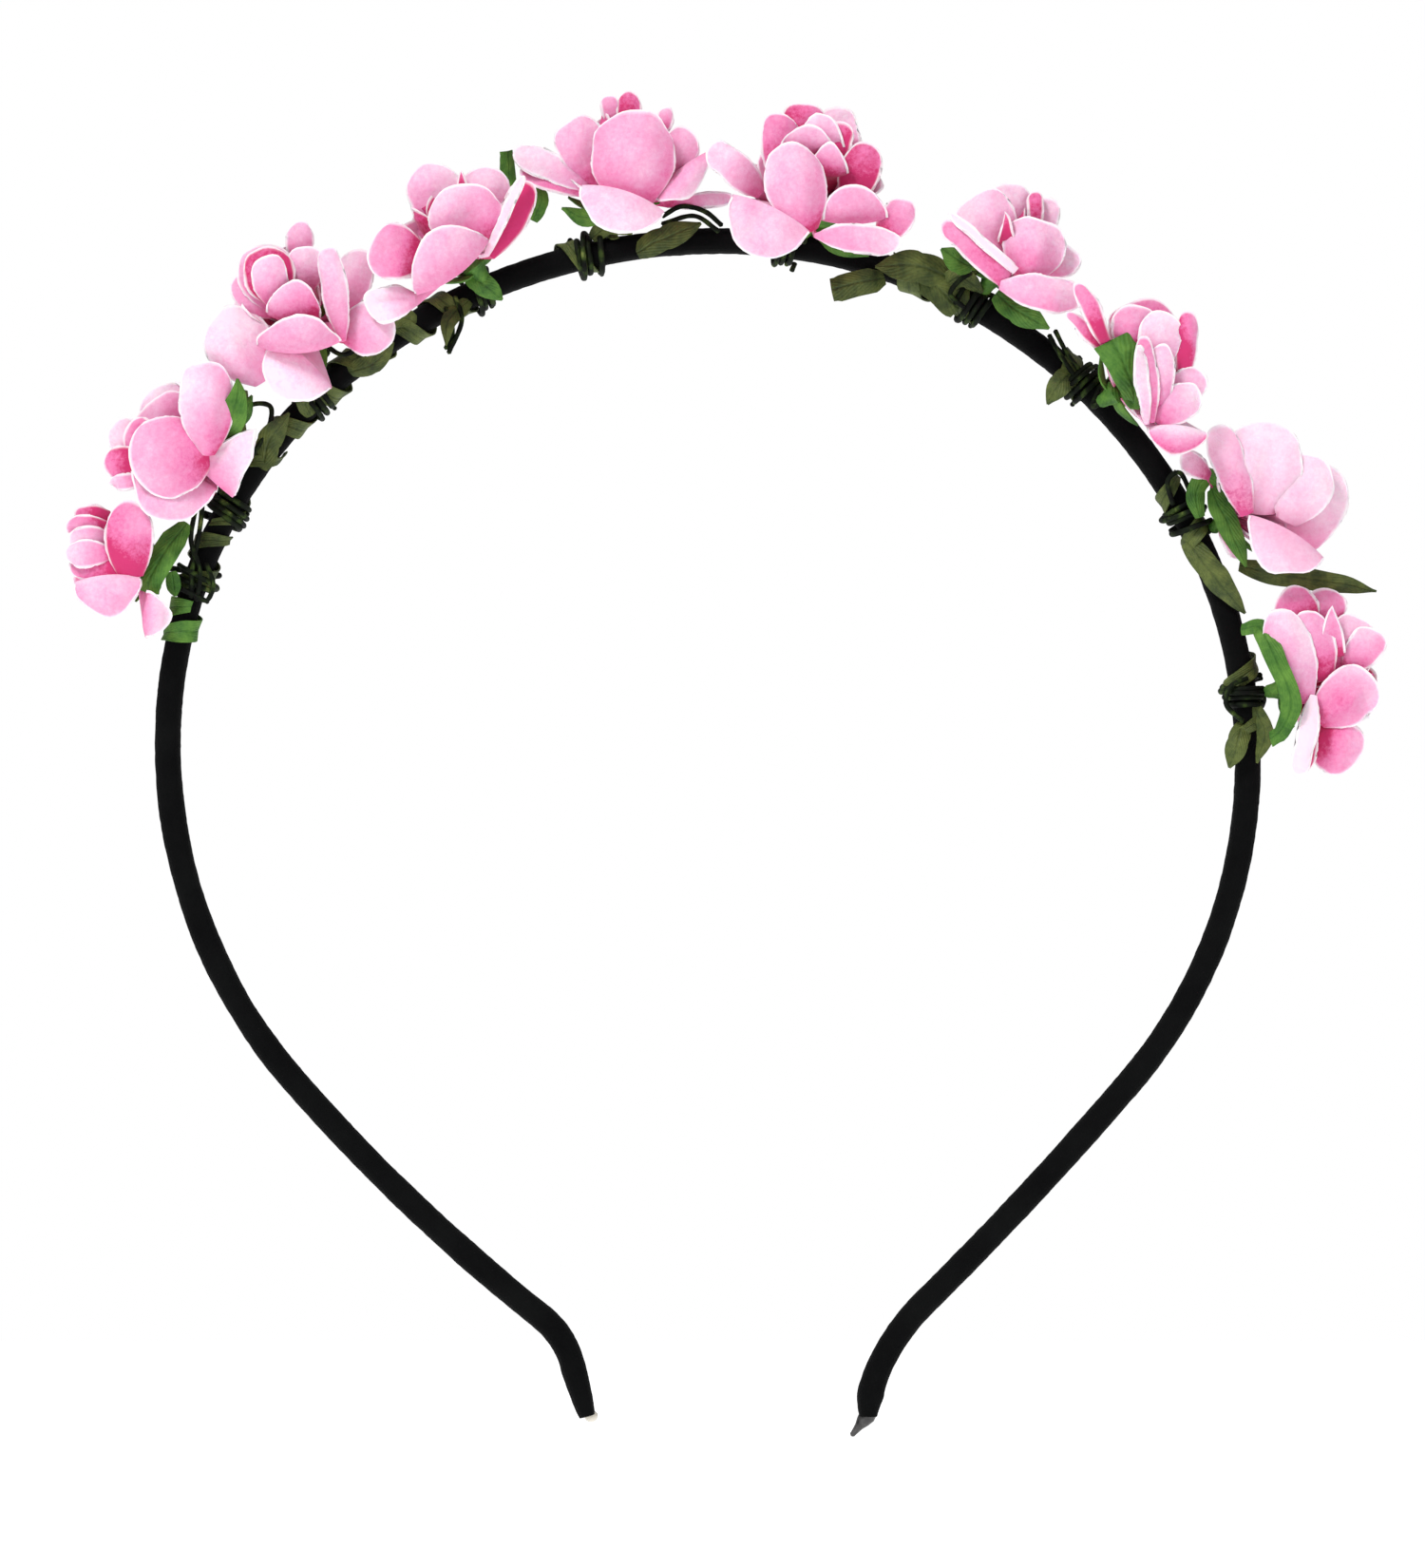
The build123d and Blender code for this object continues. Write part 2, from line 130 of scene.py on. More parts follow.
def band(s):
    """Point, direction and outward normal of the centreline, s mm past the left flex axis."""
    if s >= 0:
        (x, z), heading = walk(LEFT_START, FLEX_HEADING, CROWN_ARCS + RIGHT_LEG_ARCS, s)
    else:
        (x, z), heading = walk(LEFT_START, FLEX_HEADING + 180, LEFT_LEG_ARCS, -s)
        heading -= 180
    h = radians(heading)
    return Vector((x, 0, z)), Vector((cos(h), 0, sin(h))), Vector((-sin(h), 0, cos(h)))


def round_band(s, angle, lift):
    """A point round the band: angle 0 is outward, 90 is the back and -90 the front."""
    point, _, outward = band(s)
    a = radians(angle)
    c, d = cos(a), sin(a)
    n = (abs(c) ** 2.8 + abs(d) ** 2.8) ** (-1 / 2.8)
    return point + outward * c * (HALF_THICKNESS * n + lift) + DEPTH * d * (HALF_WIDTH * n + lift)


# ---------------------------------------------------------------- mesh helpers
def build(name, verts, faces, materials, face_slots=None, attributes=None, uvs=None, sharp=40):
    """A mesh object from points in millimetres, smooth except across sharp edges."""
    mesh = bpy.data.meshes.new(name)
    mesh.from_pydata([Vector(v) * MM for v in verts], [], faces)
    for material in materials:
        mesh.materials.append(material)
    if face_slots:
        mesh.polygons.foreach_set("material_index", face_slots)
    for key, values in (attributes or {}).items():
        mesh.attributes.new(key, "FLOAT", "POINT").data.foreach_set("value", values)
    if uvs:
        layer = mesh.uv_layers.new(name="UVMap")
        flat = []
        for loop in mesh.loops:
            flat.extend(uvs[loop.vertex_index])
        layer.data.foreach_set("uv", flat)
    mesh.polygons.foreach_set("use_smooth", [True] * len(mesh.polygons))
    mesh.update()
    mesh.set_sharp_from_angle(angle=radians(sharp))
    obj = bpy.data.objects.new(name, mesh)
    bpy.context.scene.collection.objects.link(obj)
    return obj


class Sheets:
    """Collects paper sheets with a thickness, then makes one object of them."""

    def __init__(self):
        self.verts, self.faces, self.slots = [], [], []
        self.tone, self.rim, self.along, self.across = [], [], [], []

    def add(self, grid, thickness, tones, slots=(0, 0, 1), rims=None):
        """grid[row][column] are points; tones[row][column] are (front, back) values."""
        rows, columns = len(grid), len(grid[0])
        normals = [[None] * columns for _ in range(rows)]
        for i in range(rows):
            for j in range(columns):
                along = grid[min(i + 1, rows - 1)][j] - grid[max(i - 1, 0)][j]
                across = grid[i][min(j + 1, columns - 1)] - grid[i][max(j - 1, 0)]
                normal = across.cross(along)
                if normal.length < 1e-9:
                    normal = Vector((0, 0, 1))
                normals[i][j] = normal.normalized()
        start = len(self.verts)
        for side in (1, -1):
            for i in range(rows):
                for j in range(columns):
                    self.verts.append(grid[i][j] + normals[i][j] * side * thickness / 2)
                    self.tone.append(tones[i][j][0 if side > 0 else 1])
                    self.rim.append(rims[i][j] if rims else 0.0)
                    self.along.append(i / (rows - 1))
                    self.across.append(j / (columns - 1))
        count = rows * columns

        def index(i, j, side):
            return start + (0 if side > 0 else count) + i * columns + j

        for i in range(rows - 1):
            for j in range(columns - 1):
                a, b = index(i, j, 1), index(i, j + 1, 1)
                c, d = index(i + 1, j + 1, 1), index(i + 1, j, 1)
                self.faces.append((a, b, c, d))
                self.slots.append(slots[0])
                a, b = index(i, j, -1), index(i, j + 1, -1)
                c, d = index(i + 1, j + 1, -1), index(i + 1, j, -1)
                self.faces.append((d, c, b, a))
                self.slots.append(slots[1])
        edge = [(0, j) for j in range(columns)] + [(i, columns - 1) for i in range(1, rows)]
        edge += [(rows - 1, j) for j in range(columns - 2, -1, -1)]
        edge += [(i, 0) for i in range(rows - 2, 0, -1)]
        for here, there in zip(edge, edge[1:] + edge[:1]):
            self.faces.append((index(*there, 1), index(*here, 1), index(*here, -1), index(*there, -1)))
            self.slots.append(slots[2])

    def make(self, name, materials):
        attributes = {"tone": self.tone, "rim": self.rim}
        uvs = list(zip(self.across, self.along))
        return build(name, self.verts, self.faces, materials, self.slots, attributes, uvs, 50)


def tube_rings(points, radii, sides=10, closed_ends=True):
    """Vertices and faces of a round tube along points, with ends that bulge shut."""
    verts, faces = [], []
    count = len(points)
    tangents = []
    for i in range(count):
        step = points[min(i + 1, count - 1)] - points[max(i - 1, 0)]
        tangents.append(step.normalized())
    normal = tangents[0].orthogonal().normalized()
    for i in range(count):
        normal = (normal - tangents[i] * normal.dot(tangents[i])).normalized()
        other = tangents[i].cross(normal)
        for k in range(sides):
            a = 2 * pi * k / sides
            verts.append(points[i] + (normal * cos(a) + other * sin(a)) * radii[i])
    for i in range(count - 1):
        for k in range(sides):
            a, b = i * sides + k, i * sides + (k + 1) % sides
            faces.append((a, b, b + sides, a + sides))
    verts.append(points[0] - tangents[0] * radii[0] * 0.6)
    verts.append(points[-1] + tangents[-1] * radii[-1] * 0.6)
    head, tail = len(verts) - 2, len(verts) - 1
    last = (count - 1) * sides
    for k in range(sides):
        faces.append((head, (k + 1) % sides, k))
        faces.append((tail, last + k, last + (k + 1) % sides))
    return verts, faces


def smooth_path(points, spacing=0.35):
    """A Catmull-Rom curve through given points, evenly divided."""
    ends = [points[0] * 2 - points[1]] + list(points) + [points[-1] * 2 - points[-2]]
    out = []
    for a, b, c, d in zip(ends, ends[1:], ends[2:], ends[3:]):
        pieces = max(2, int((c - b).length / spacing))
        for k in range(pieces):
            t = k / pieces
            out.append(0.5 * ((b * 2) + (c - a) * t + (a * 2 - b * 5 + c * 4 - d) * t ** 2
                              + (b * 3 - a - c * 3 + d) * t ** 3))
    out.append(Vector(points[-1]))
    return out


# ---------------------------------------------------------------- materials
def srgb(r, g, b):
    """Linear colour from 0-255 display values."""
    return tuple((v / 255 / 12.92) if v <= 10 else ((v / 255 + 0.055) / 1.055) ** 2.4
                 for v in (r, g, b)) + (1.0,)


def new_material(name):
    material = bpy.data.materials.new(name)
    material.use_nodes = True
    tree = material.node_tree
    return material, tree, tree.nodes["Principled BSDF"]


def ramp(tree, stops):
    node = tree.nodes.new("ShaderNodeValToRGB")
    elements = node.color_ramp.elements
    while len(elements) < len(stops):
        elements.new(0.5)
    for element, (place, colour) in zip(elements, stops):
        element.position = place
        element.color = colour
    return node


def noise_node(tree, scale, detail=4.0, roughness=0.6, coordinates=None):
    node = tree.nodes.new("ShaderNodeTexNoise")
    node.inputs["Scale"].default_value = scale
    node.inputs["Detail"].default_value = detail
    node.inputs["Roughness"].default_value = roughness
    if coordinates is None:
        coordinates = tree.nodes.new("ShaderNodeTexCoord").outputs["Object"]
    tree.links.new(coordinates, node.inputs["Vector"])
    return node


def math_node(tree, operation, a, b=None, clamp=False):
    node = tree.nodes.new("ShaderNodeMath")
    node.operation = operation
    node.use_clamp = clamp
    for socket, value in zip(node.inputs, (a, b)):
        if value is None:
            continue
        if isinstance(value, (int, float)):
            socket.default_value = value
        else:
            tree.links.new(value, socket)
    return node.outputs[0]


def bump(tree, height, strength, distance, normal=None):
    node = tree.nodes.new("ShaderNodeBump")
    node.inputs["Strength"].default_value = strength
    node.inputs["Distance"].default_value = distance
    tree.links.new(height, node.inputs["Height"])
    if normal is not None:
        tree.links.new(normal, node.inputs["Normal"])
    return node.outputs["Normal"]


def petal_material(name, pale, mid, deep, dark):
    """Dyed mulberry paper, coloured from pale to deep pink by the tone attribute; its deepening towards the root, to
    one side and on the inner face is painted shade.
    """
    material, tree, shader = new_material(name)
    tone = tree.nodes.new("ShaderNodeAttribute")
    tone.attribute_name = "tone"
    blotch = noise_node(tree, 260.0, 3.0, 0.55)
    fibre = noise_node(tree, 1900.0, 5.0, 0.75)
    mixed = math_node(tree, "MULTIPLY_ADD", blotch.outputs["Fac"], 0.6)
    mixed.node.inputs[2].default_value = -0.3
    mixed = math_node(tree, "ADD", tone.outputs["Fac"], mixed)
    grain = math_node(tree, "MULTIPLY_ADD", fibre.outputs["Fac"], 0.6)
    grain.node.inputs[2].default_value = -0.3
    mixed = math_node(tree, "ADD", mixed, grain, clamp=True)
    # The deep and dark stops also colour the painted shade carried in the tone.
    colours = ramp(tree, [(0.0, pale), (0.4, mid), (0.78, deep), (1.0, dark)])
    tree.links.new(mixed, colours.inputs["Fac"])
    rim = tree.nodes.new("ShaderNodeAttribute")
    rim.attribute_name = "rim"
    whiten = tree.nodes.new("ShaderNodeMix")
    whiten.data_type = "RGBA"
    whiten.inputs[7].default_value = srgb(255, 246, 251)
    tree.links.new(math_node(tree, "MULTIPLY", rim.outputs["Fac"], 0.85), whiten.inputs[0])
    tree.links.new(colours.outputs["Color"], whiten.inputs[6])
    tree.links.new(whiten.outputs[2], shader.inputs["Base Color"])
    shader.inputs["Roughness"].default_value = 0.82
    shader.inputs["Specular IOR Level"].default_value = 0.25
    shader.inputs["Sheen Weight"].default_value = 0.25
    shader.inputs["Sheen Roughness"].default_value = 0.5
    shader.inputs["Subsurface Weight"].default_value = 0.25
    shader.inputs["Subsurface Radius"].default_value = (1.0, 0.35, 0.5)
    shader.inputs["Subsurface Scale"].default_value = 0.0009
    rough = bump(tree, fibre.outputs["Fac"], 0.5, 0.0001)
    wrinkles = noise_node(tree, 520.0, 3.0, 0.6)
    tree.links.new(bump(tree, wrinkles.outputs["Fac"], 0.5, 0.0005, rough), shader.inputs["Normal"])
    return material


def plain_paper(name, dark, light, scale=900.0, roughness=0.85):
    """Paper of one colour, with its fibres and slight unevenness."""
    material, tree, shader = new_material(name)
    fibre = noise_node(tree, scale, 5.0, 0.65)
    colours = ramp(tree, [(0.3, dark), (0.72, light)])
    tree.links.new(fibre.outputs["Fac"], colours.inputs["Fac"])
    tree.links.new(colours.outputs["Color"], shader.inputs["Base Color"])
    shader.inputs["Roughness"].default_value = roughness
    shader.inputs["Specular IOR Level"].default_value = 0.3
    tree.links.new(bump(tree, fibre.outputs["Fac"], 0.4, 0.00015), shader.inputs["Normal"])
    return material


def leaf_material(name, dark, mid, light):
    """Green floral paper, with a midrib and side veins drawn along its UVs."""
    material, tree, shader = new_material(name)
    uv = tree.nodes.new("ShaderNodeUVMap")
    uv.uv_map = "UVMap"
    split = tree.nodes.new("ShaderNodeSeparateXYZ")
    tree.links.new(uv.outputs["UV"], split.inputs[0])
    across = math_node(tree, "ABSOLUTE", math_node(tree, "SUBTRACT", split.outputs["X"], 0.5))
    slanted = math_node(tree, "MULTIPLY_ADD", across, -0.9)
    tree.links.new(split.outputs["Y"], slanted.node.inputs[2])
    veins = math_node(tree, "PINGPONG", math_node(tree, "MULTIPLY", slanted, 9.0), 0.5)
    veins = math_node(tree, "MULTIPLY", veins, 2.0)
    rib = math_node(tree, "MULTIPLY", across, 14.0, clamp=True)
    height = math_node(tree, "MULTIPLY_ADD", veins, 0.35)
    tree.links.new(rib, height.node.inputs[2])
    blotch = noise_node(tree, 420.0, 4.0, 0.6)
    fibre = noise_node(tree, 2600.0, 4.0, 0.7)
    tone = math_node(tree, "MULTIPLY_ADD", height, 0.1)
    tree.links.new(math_node(tree, "ADD", blotch.outputs["Fac"], math_node(
        tree, "MULTIPLY", fibre.outputs["Fac"], 0.25)), tone.node.inputs[2])
    colours = ramp(tree, [(0.38, dark), (0.62, mid), (0.95, light)])
    tree.links.new(tone, colours.inputs["Fac"])
    tree.links.new(colours.outputs["Color"], shader.inputs["Base Color"])
    shader.inputs["Roughness"].default_value = 0.62
    shader.inputs["Specular IOR Level"].default_value = 0.35
    first = bump(tree, height, 0.5, 0.0003)
    tree.links.new(bump(tree, fibre.outputs["Fac"], 0.3, 0.0001, first), shader.inputs["Normal"])
    return material


def wire_material():
    """Florist wire in dark green paper tape; the light olive top of its colour ramp is a painted highlight along the
    wraps.
    """
    material, tree, shader = new_material("wrapped_wire")
    uv = tree.nodes.new("ShaderNodeUVMap")
    uv.uv_map = "UVMap"
    wave = tree.nodes.new("ShaderNodeTexWave")
    wave.bands_direction = "DIAGONAL"
    wave.inputs["Scale"].default_value = 0.25
    wave.inputs["Distortion"].default_value = 2.0
    tree.links.new(uv.outputs["UV"], wave.inputs["Vector"])
    patches = noise_node(tree, 420.0, 4.0, 0.6)
    tone = math_node(tree, "MULTIPLY_ADD", wave.outputs["Fac"], 0.16)
    tree.links.new(patches.outputs["Fac"], tone.node.inputs[2])
    # The light olive top stop is a painted highlight along the tape's wraps.
    colours = ramp(tree, [(0.42, srgb(3, 6, 3)), (0.62, srgb(14, 24, 8)), (0.76, srgb(52, 70, 26)),
                          (0.92, srgb(132, 146, 78))])
    tree.links.new(tone, colours.inputs["Fac"])
    tree.links.new(colours.outputs["Color"], shader.inputs["Base Color"])
    shader.inputs["Roughness"].default_value = 0.7
    shader.inputs["Specular IOR Level"].default_value = 0.14
    tree.links.new(bump(tree, wave.outputs["Fac"], 0.3, 0.0001), shader.inputs["Normal"])
    return material


def cover_material():
    """Black satin-backed fabric: a fine diagonal weave with a little fuzz and sheen."""
    material, tree, shader = new_material("satin_cover")
    uv = tree.nodes.new("ShaderNodeUVMap")
    uv.uv_map = "UVMap"
    heights = []
    for direction in ("X", "Y"):
        wave = tree.nodes.new("ShaderNodeTexWave")
        wave.bands_direction = direction
        wave.inputs["Scale"].default_value = 1.1
        wave.inputs["Distortion"].default_value = 0.6
        wave.inputs["Detail"].default_value = 1.0
        tree.links.new(uv.outputs["UV"], wave.inputs["Vector"])
        heights.append(wave.outputs["Fac"])
    weave = math_node(tree, "ADD", heights[0], math_node(tree, "MULTIPLY", heights[1], 0.6))
    fuzz = noise_node(tree, 1800.0, 5.0, 0.75)
    wear = noise_node(tree, 120.0, 4.0, 0.6)
    tone = math_node(tree, "MULTIPLY_ADD", weave, 0.12)
    tree.links.new(wear.outputs["Fac"], tone.node.inputs[2])
    colours = ramp(tree, [(0.35, srgb(3, 3, 4)), (0.8, srgb(13, 14, 14))])
    tree.links.new(tone, colours.inputs["Fac"])
    tree.links.new(colours.outputs["Color"], shader.inputs["Base Color"])
    shader.inputs["Roughness"].default_value = 0.75
    shader.inputs["Specular IOR Level"].default_value = 0.06
    first = bump(tree, weave, 0.5, 0.00008)
    tree.links.new(bump(tree, fuzz.outputs["Fac"], 0.5, 0.0001, first), shader.inputs["Normal"])
    return material


def glue_material(name, dark, light):
    material, tree, shader = new_material(name)
    cloud = noise_node(tree, 900.0, 3.0, 0.5)
    colours = ramp(tree, [(0.3, dark), (0.8, light)])
    tree.links.new(cloud.outputs["Fac"], colours.inputs["Fac"])
    tree.links.new(colours.outputs["Color"], shader.inputs["Base Color"])
    shader.inputs["Roughness"].default_value = 0.2
    shader.inputs["Subsurface Weight"].default_value = 0.3
    shader.inputs["Subsurface Radius"].default_value = (1.0, 1.0, 1.0)
    shader.inputs["Subsurface Scale"].default_value = 0.0005
    return material


def steel_material():
    material, tree, shader = new_material("spring_steel")
    streak = noise_node(tree, 600.0, 6.0, 0.7)
    colours = ramp(tree, [(0.3, srgb(120, 122, 126)), (0.8, srgb(178, 180, 184))])
    tree.links.new(streak.outputs["Fac"], colours.inputs["Fac"])
    tree.links.new(colours.outputs["Color"], shader.inputs["Base Color"])
    shader.inputs["Metallic"].default_value = 1.0
    shader.inputs["Roughness"].default_value = 0.35
    tree.links.new(bump(tree, streak.outputs["Fac"], 0.2, 0.0001), shader.inputs["Normal"])
    return material


PALE, MID = srgb(247, 218, 233), srgb(236, 168, 203)
DEEP, DARK = srgb(228, 118, 170), srgb(204, 50, 112)
WHITE_RIM = plain_paper("petal_cut_edge", srgb(246, 226, 237), srgb(254, 246, 250))
PETALS = petal_material("pink_paper", PALE, MID, DEEP, DARK)
HOT_PETALS = petal_material("hot_pink_paper", srgb(246, 198, 222), srgb(240, 150, 196),
                            srgb(230, 84, 150), srgb(188, 26, 86))
SOFT_PETALS = petal_material("soft_pink_paper", srgb(250, 226, 238), srgb(241, 190, 215),
                             srgb(234, 150, 190), srgb(208, 76, 134))
SEPAL = leaf_material("sepal_paper", srgb(26, 58, 10), srgb(54, 102, 28), srgb(94, 140, 50))
SEPAL_EDGE = plain_paper("sepal_cut_edge", srgb(60, 110, 40), srgb(120, 160, 80))
OLIVE = leaf_material("leaf_paper", srgb(24, 31, 9), srgb(55, 70, 27), srgb(98, 110, 50))
OLIVE_EDGE = plain_paper("leaf_cut_edge", srgb(64, 80, 36), srgb(128, 140, 84))
WIRE = wire_material()
COVER = cover_material()
GLUE = glue_material("glue", srgb(196, 190, 176), srgb(236, 232, 222))
SOILED_GLUE = glue_material("soiled_glue", srgb(22, 22, 23), srgb(84, 82, 82))
STEEL = steel_material()


# ---------------------------------------------------------------- petals
PAPER = 0.3
COLUMNS, ROWS = 19, 16
FOOT_ROWS = 6
FOOT_HALF_WIDTH = 0.8
ROSE_MIDDLE = 6.0


class Rose:
    """A rose's base and directions: its axis, its front (towards -Y) and its side."""

    def __init__(self, name, middle, lean, tilt, size):
        a, b = radians(lean), radians(tilt)
        self.name = name
        self.size = size
        self.middle = Vector(middle)
        self.axis = Vector((sin(a) * cos(b), -sin(b), cos(a) * cos(b)))
        self.base = self.middle - self.axis * ROSE_MIDDLE * size
        front = -DEPTH - self.axis * self.axis.dot(-DEPTH)
        self.front = front.normalized()
        self.side = self.axis.cross(self.front)
        self.random = random.Random(name)

    def out(self, heading):
        a = radians(heading)
        return self.front * cos(a) + self.side * sin(a)


# Petal outlines: (share of the length that its sides run, power of the round end).
OUTLINES = {"round": (0.56, 2.5), "half": (0.06, 2.0), "point": (0.08, 1.25)}


def outline_top(s, outline):
    """Where a petal ends, as a share of its length, at a place s from -1 to 1 across it."""
    low, power = OUTLINES[outline]
    return low + (1 - low) * max(0, 1 - abs(s) ** power) ** (1 / power)


def claw(t, share):
    """A petal's width, as a share of its full width, at a share t of its length."""
    q = min(1, t / 0.5)
    return share + (1 - share) * (1 - (1 - q) ** 2)


def petal(rose, sheets, root, tip, normal, width, bulge, wrap, tone, share=0.4, crease=0.0,
          outline="round", painted_side_shade=0.0, painted_root_shade=0.65, centre_tone=0.0, foot=None):
    """One petal from root to tip, with its outer side towards normal and its sides wrapped away from it.
    Its tone gets deeper to its root by deepen and across it by slope, both painted shade, and changes in its middle
    by centre_tone. A foot is the point where the rest of the petal, bent back from its root, is glued to the stalk."""
    shake = rose.random
    phase = shake.uniform(0, 6.28)
    root, tip = Vector(root), Vector(tip)
    line = tip - root
    length = line.length
    normal = (normal - line * normal.dot(line) / length ** 2).normalized()
    side = line.normalized().cross(normal)
    control = (root + tip) / 2 + normal * 2 * bulge
    half_wrap = radians(wrap) / 2 or 1e-4
    grid, tones, rims = [], [], []
    for i in range(ROWS):
        v = sin(pi / 2 * i / (ROWS - 1)) ** 0.9
        row, shades, rim_row = [], [], []
        for j in range(COLUMNS):
            s = sin(pi / 2 * (2 * j / (COLUMNS - 1) - 1))
            top = outline_top(s, outline)
            t = v * top
            centre = root * (1 - t) ** 2 + control * 2 * t * (1 - t) + tip * t * t
            along = ((control - root) * (1 - t) + (tip - control) * t).normalized()
            outward = side.cross(along)
            half = width / 2 * (claw(t, share) if outline == "round" else 1)
            bend = half_wrap * s
            sideways = half * sin(bend) / half_wrap
            lift = half * (1 - cos(bend)) / half_wrap
            edge = (1 - v) * length * top
            if outline == "round":
                edge = min(edge, (1 - abs(s)) * half)
            rim = exp(-((edge / 0.26) ** 4))
            roll = 0.34 * exp(-edge / 0.9) * min(1, v * 1.4)
            ruffle = 0.24 * v * v * sin(3.1 * s + phase) * sin(2.2 * v + phase * 0.7)
            fold = crease * exp(-((s - 0.12) / 0.3) ** 2) * sin(pi * min(1, t * 1.1))
            point = centre + side * sideways - outward * (lift - roll - ruffle + fold)
            wobble = noise.noise_vector(point * 0.3 + Vector((phase, 0, 0))) * 0.5
            crinkle = noise.noise(point * 1.1 + Vector((0, phase, 0))) * 0.16
            row.append(point + (wobble + outward * crinkle) * v)
            middle_share = exp(-((s / 0.5) ** 2) - ((v - 0.5) / 0.28) ** 2)
            # Painted shade: deepen makes the tone deeper towards the root and slope towards one side. The tone is
            # also a little deeper towards the sides near the tip.
            base_tone = tone + painted_root_shade * (1 - v) ** 1.5 + 0.1 * s * s * v + painted_side_shade * s + centre_tone * middle_share
            # The inner side is painted 0.14 deeper: painted shade on the face turned into the rose.
            shades.append((base_tone, base_tone + 0.14))
            rim_row.append(rim * min(1, v * 3))
        grid.append(row)
        tones.append(shades)
        rims.append(rim_row)
    if foot is not None:
        back = DEPTH * max(0.5, 0.6 * DEPTH.dot(foot - root))
        neck, root_row, root_tones = [], grid[0], tones[0]
        for i in range(FOOT_ROWS):
            u = i / FOOT_ROWS
            row = []
            for j, point in enumerate(root_row):
                glued = foot + side * FOOT_HALF_WIDTH * (2 * j / (COLUMNS - 1) - 1)
                row.append(glued * (1 - u) ** 2 + (point + back) * 2 * u * (1 - u) + point * u * u)
            neck.append(row)
        grid = neck + grid
        tones = [root_tones] * FOOT_ROWS + tones
        rims = [[0.0] * COLUMNS] * FOOT_ROWS + rims
    sheets.add(grid, PAPER, tones, rims=rims)


def shown_petal(rose, sheets, root, tip, width, bulge=1.0, wrap=50, roll=0, **look):
    """A petal that faces the viewer, turned by roll about its midrib. root and tip are (right, up,
    towards the viewer) in millimetres from the rose's middle."""
    ends = [rose.middle + Vector((x, -near, z)) for x, z, near in (root, tip)]
    line = (ends[1] - ends[0]).normalized()
    normal = Matrix.Rotation(radians(roll), 3, line) @ (-DEPTH - line * line.dot(-DEPTH)).normalized()
    foot = rose.base + rose.axis * 1.4 + (ends[0] - rose.base).normalized() * 0.8
    petal(rose, sheets, *ends, normal, width, bulge, wrap, foot=foot, **look)


def ring_petal(rose, sheets, heading, height, angle, length, width, bulge, wrap, tone):
    """A petal that leans off the rose's axis by an angle, in the direction of a heading about it."""
    out = rose.out(heading)
    a = radians(angle)
    root = rose.base + rose.axis * height + out * 0.8
    tip = root + (rose.axis * cos(a) + out * sin(a)) * length
    normal = out * cos(a) - rose.axis * sin(a)
    petal(rose, sheets, root, tip, normal, width, bulge, wrap, tone)


def bud_roll(rose, sheets, height, length, turns, radius, tone):
    """The innermost strip, rolled into a loose spiral that leans shut at its top."""
    columns, rows = int(turns * 22), 9
    grid, tones = [], []
    start = rose.random.uniform(0, 360)
    for i in range(rows):
        v = i / (rows - 1)
        row, shades = [], []
        for j in range(columns + 1):
            u = j / columns
            out = rose.out(start + 360 * turns * u)
            belly = 0.45 + 0.62 * sin(pi * (0.08 + 0.72 * v))
            r = (0.25 + (radius - 0.25) * u ** 0.8) * belly
            rise = height + length * v * (1 - 0.14 * u) + 0.25 * sin(9 * u + 2)
            row.append(rose.base + rose.axis * rise + out * r)
            # Painted shade: the tone gets deeper towards the foot of the roll, on both faces.
            shades.append((tone + 0.25 * (1 - v), tone + 0.2 * (1 - v)))
        grid.append(row)
        tones.append(shades)
    sheets.add(grid, PAPER * 0.8, tones)


def green_part(sheets, points, width, start_roll=0, end_roll=0, kind="leaf", cup=25):
    """A cut paper strip through points of (right, up, towards the viewer), in millimetres."""
    path = smooth_path([Vector((x, -near, z)) for x, z, near in points], 0.5)
    count, columns = len(path), 9
    grid, tones = [], []
    half_cup = radians(cup) / 2
    for i, centre in enumerate(path):
        t = i / (count - 1)
        along = (path[min(i + 1, count - 1)] - path[max(i - 1, 0)]).normalized()
        facing = (-DEPTH - along * along.dot(-DEPTH)).normalized()
        roll = radians(start_roll + (end_roll - start_roll) * t)
        facing = Matrix.Rotation(roll, 3, along) @ facing
        side = along.cross(facing)
        if kind == "leaf":
            half = width / 2 * (0.3 + 0.7 * sin(pi * min(1, t * 1.25 + 0.08) ** 0.9)) if t < 0.45 else (
                width / 2 * max(0.04, cos(pi / 2 * ((t - 0.45) / 0.55) ** 1.5)))
        elif kind == "wedge":
            half = width / 2 * (0.12 + 0.88 * t ** 0.8) * (1 if t < 0.9 else 0.93)
        elif kind == "strap":
            half = width / 2 * (0.55 + 0.45 * min(1, t * 4)) * (1 if t < 0.93 else 0.9)
        else:
            half = width / 2 * (0.5 + 0.5 * min(1, t * 3)) * max(0.05, 1 - max(0, t - 0.25) / 0.75) ** 0.8
        row, shades = [], []
        for j in range(columns):
            s = 2 * j / (columns - 1) - 1
            bend = half_cup * s
            offset = side * half * sin(bend) / half_cup - facing * half * (1 - cos(bend)) / half_cup
            point = centre + offset
            point = point + noise.noise_vector(point * 0.3) * 0.3
            row.append(point + facing * 0.12 * (1 - abs(s)))
            shades.append((0.5, 0.6))
        grid.append(row)
        tones.append(shades)
    sheets.add(grid, 0.26, tones)


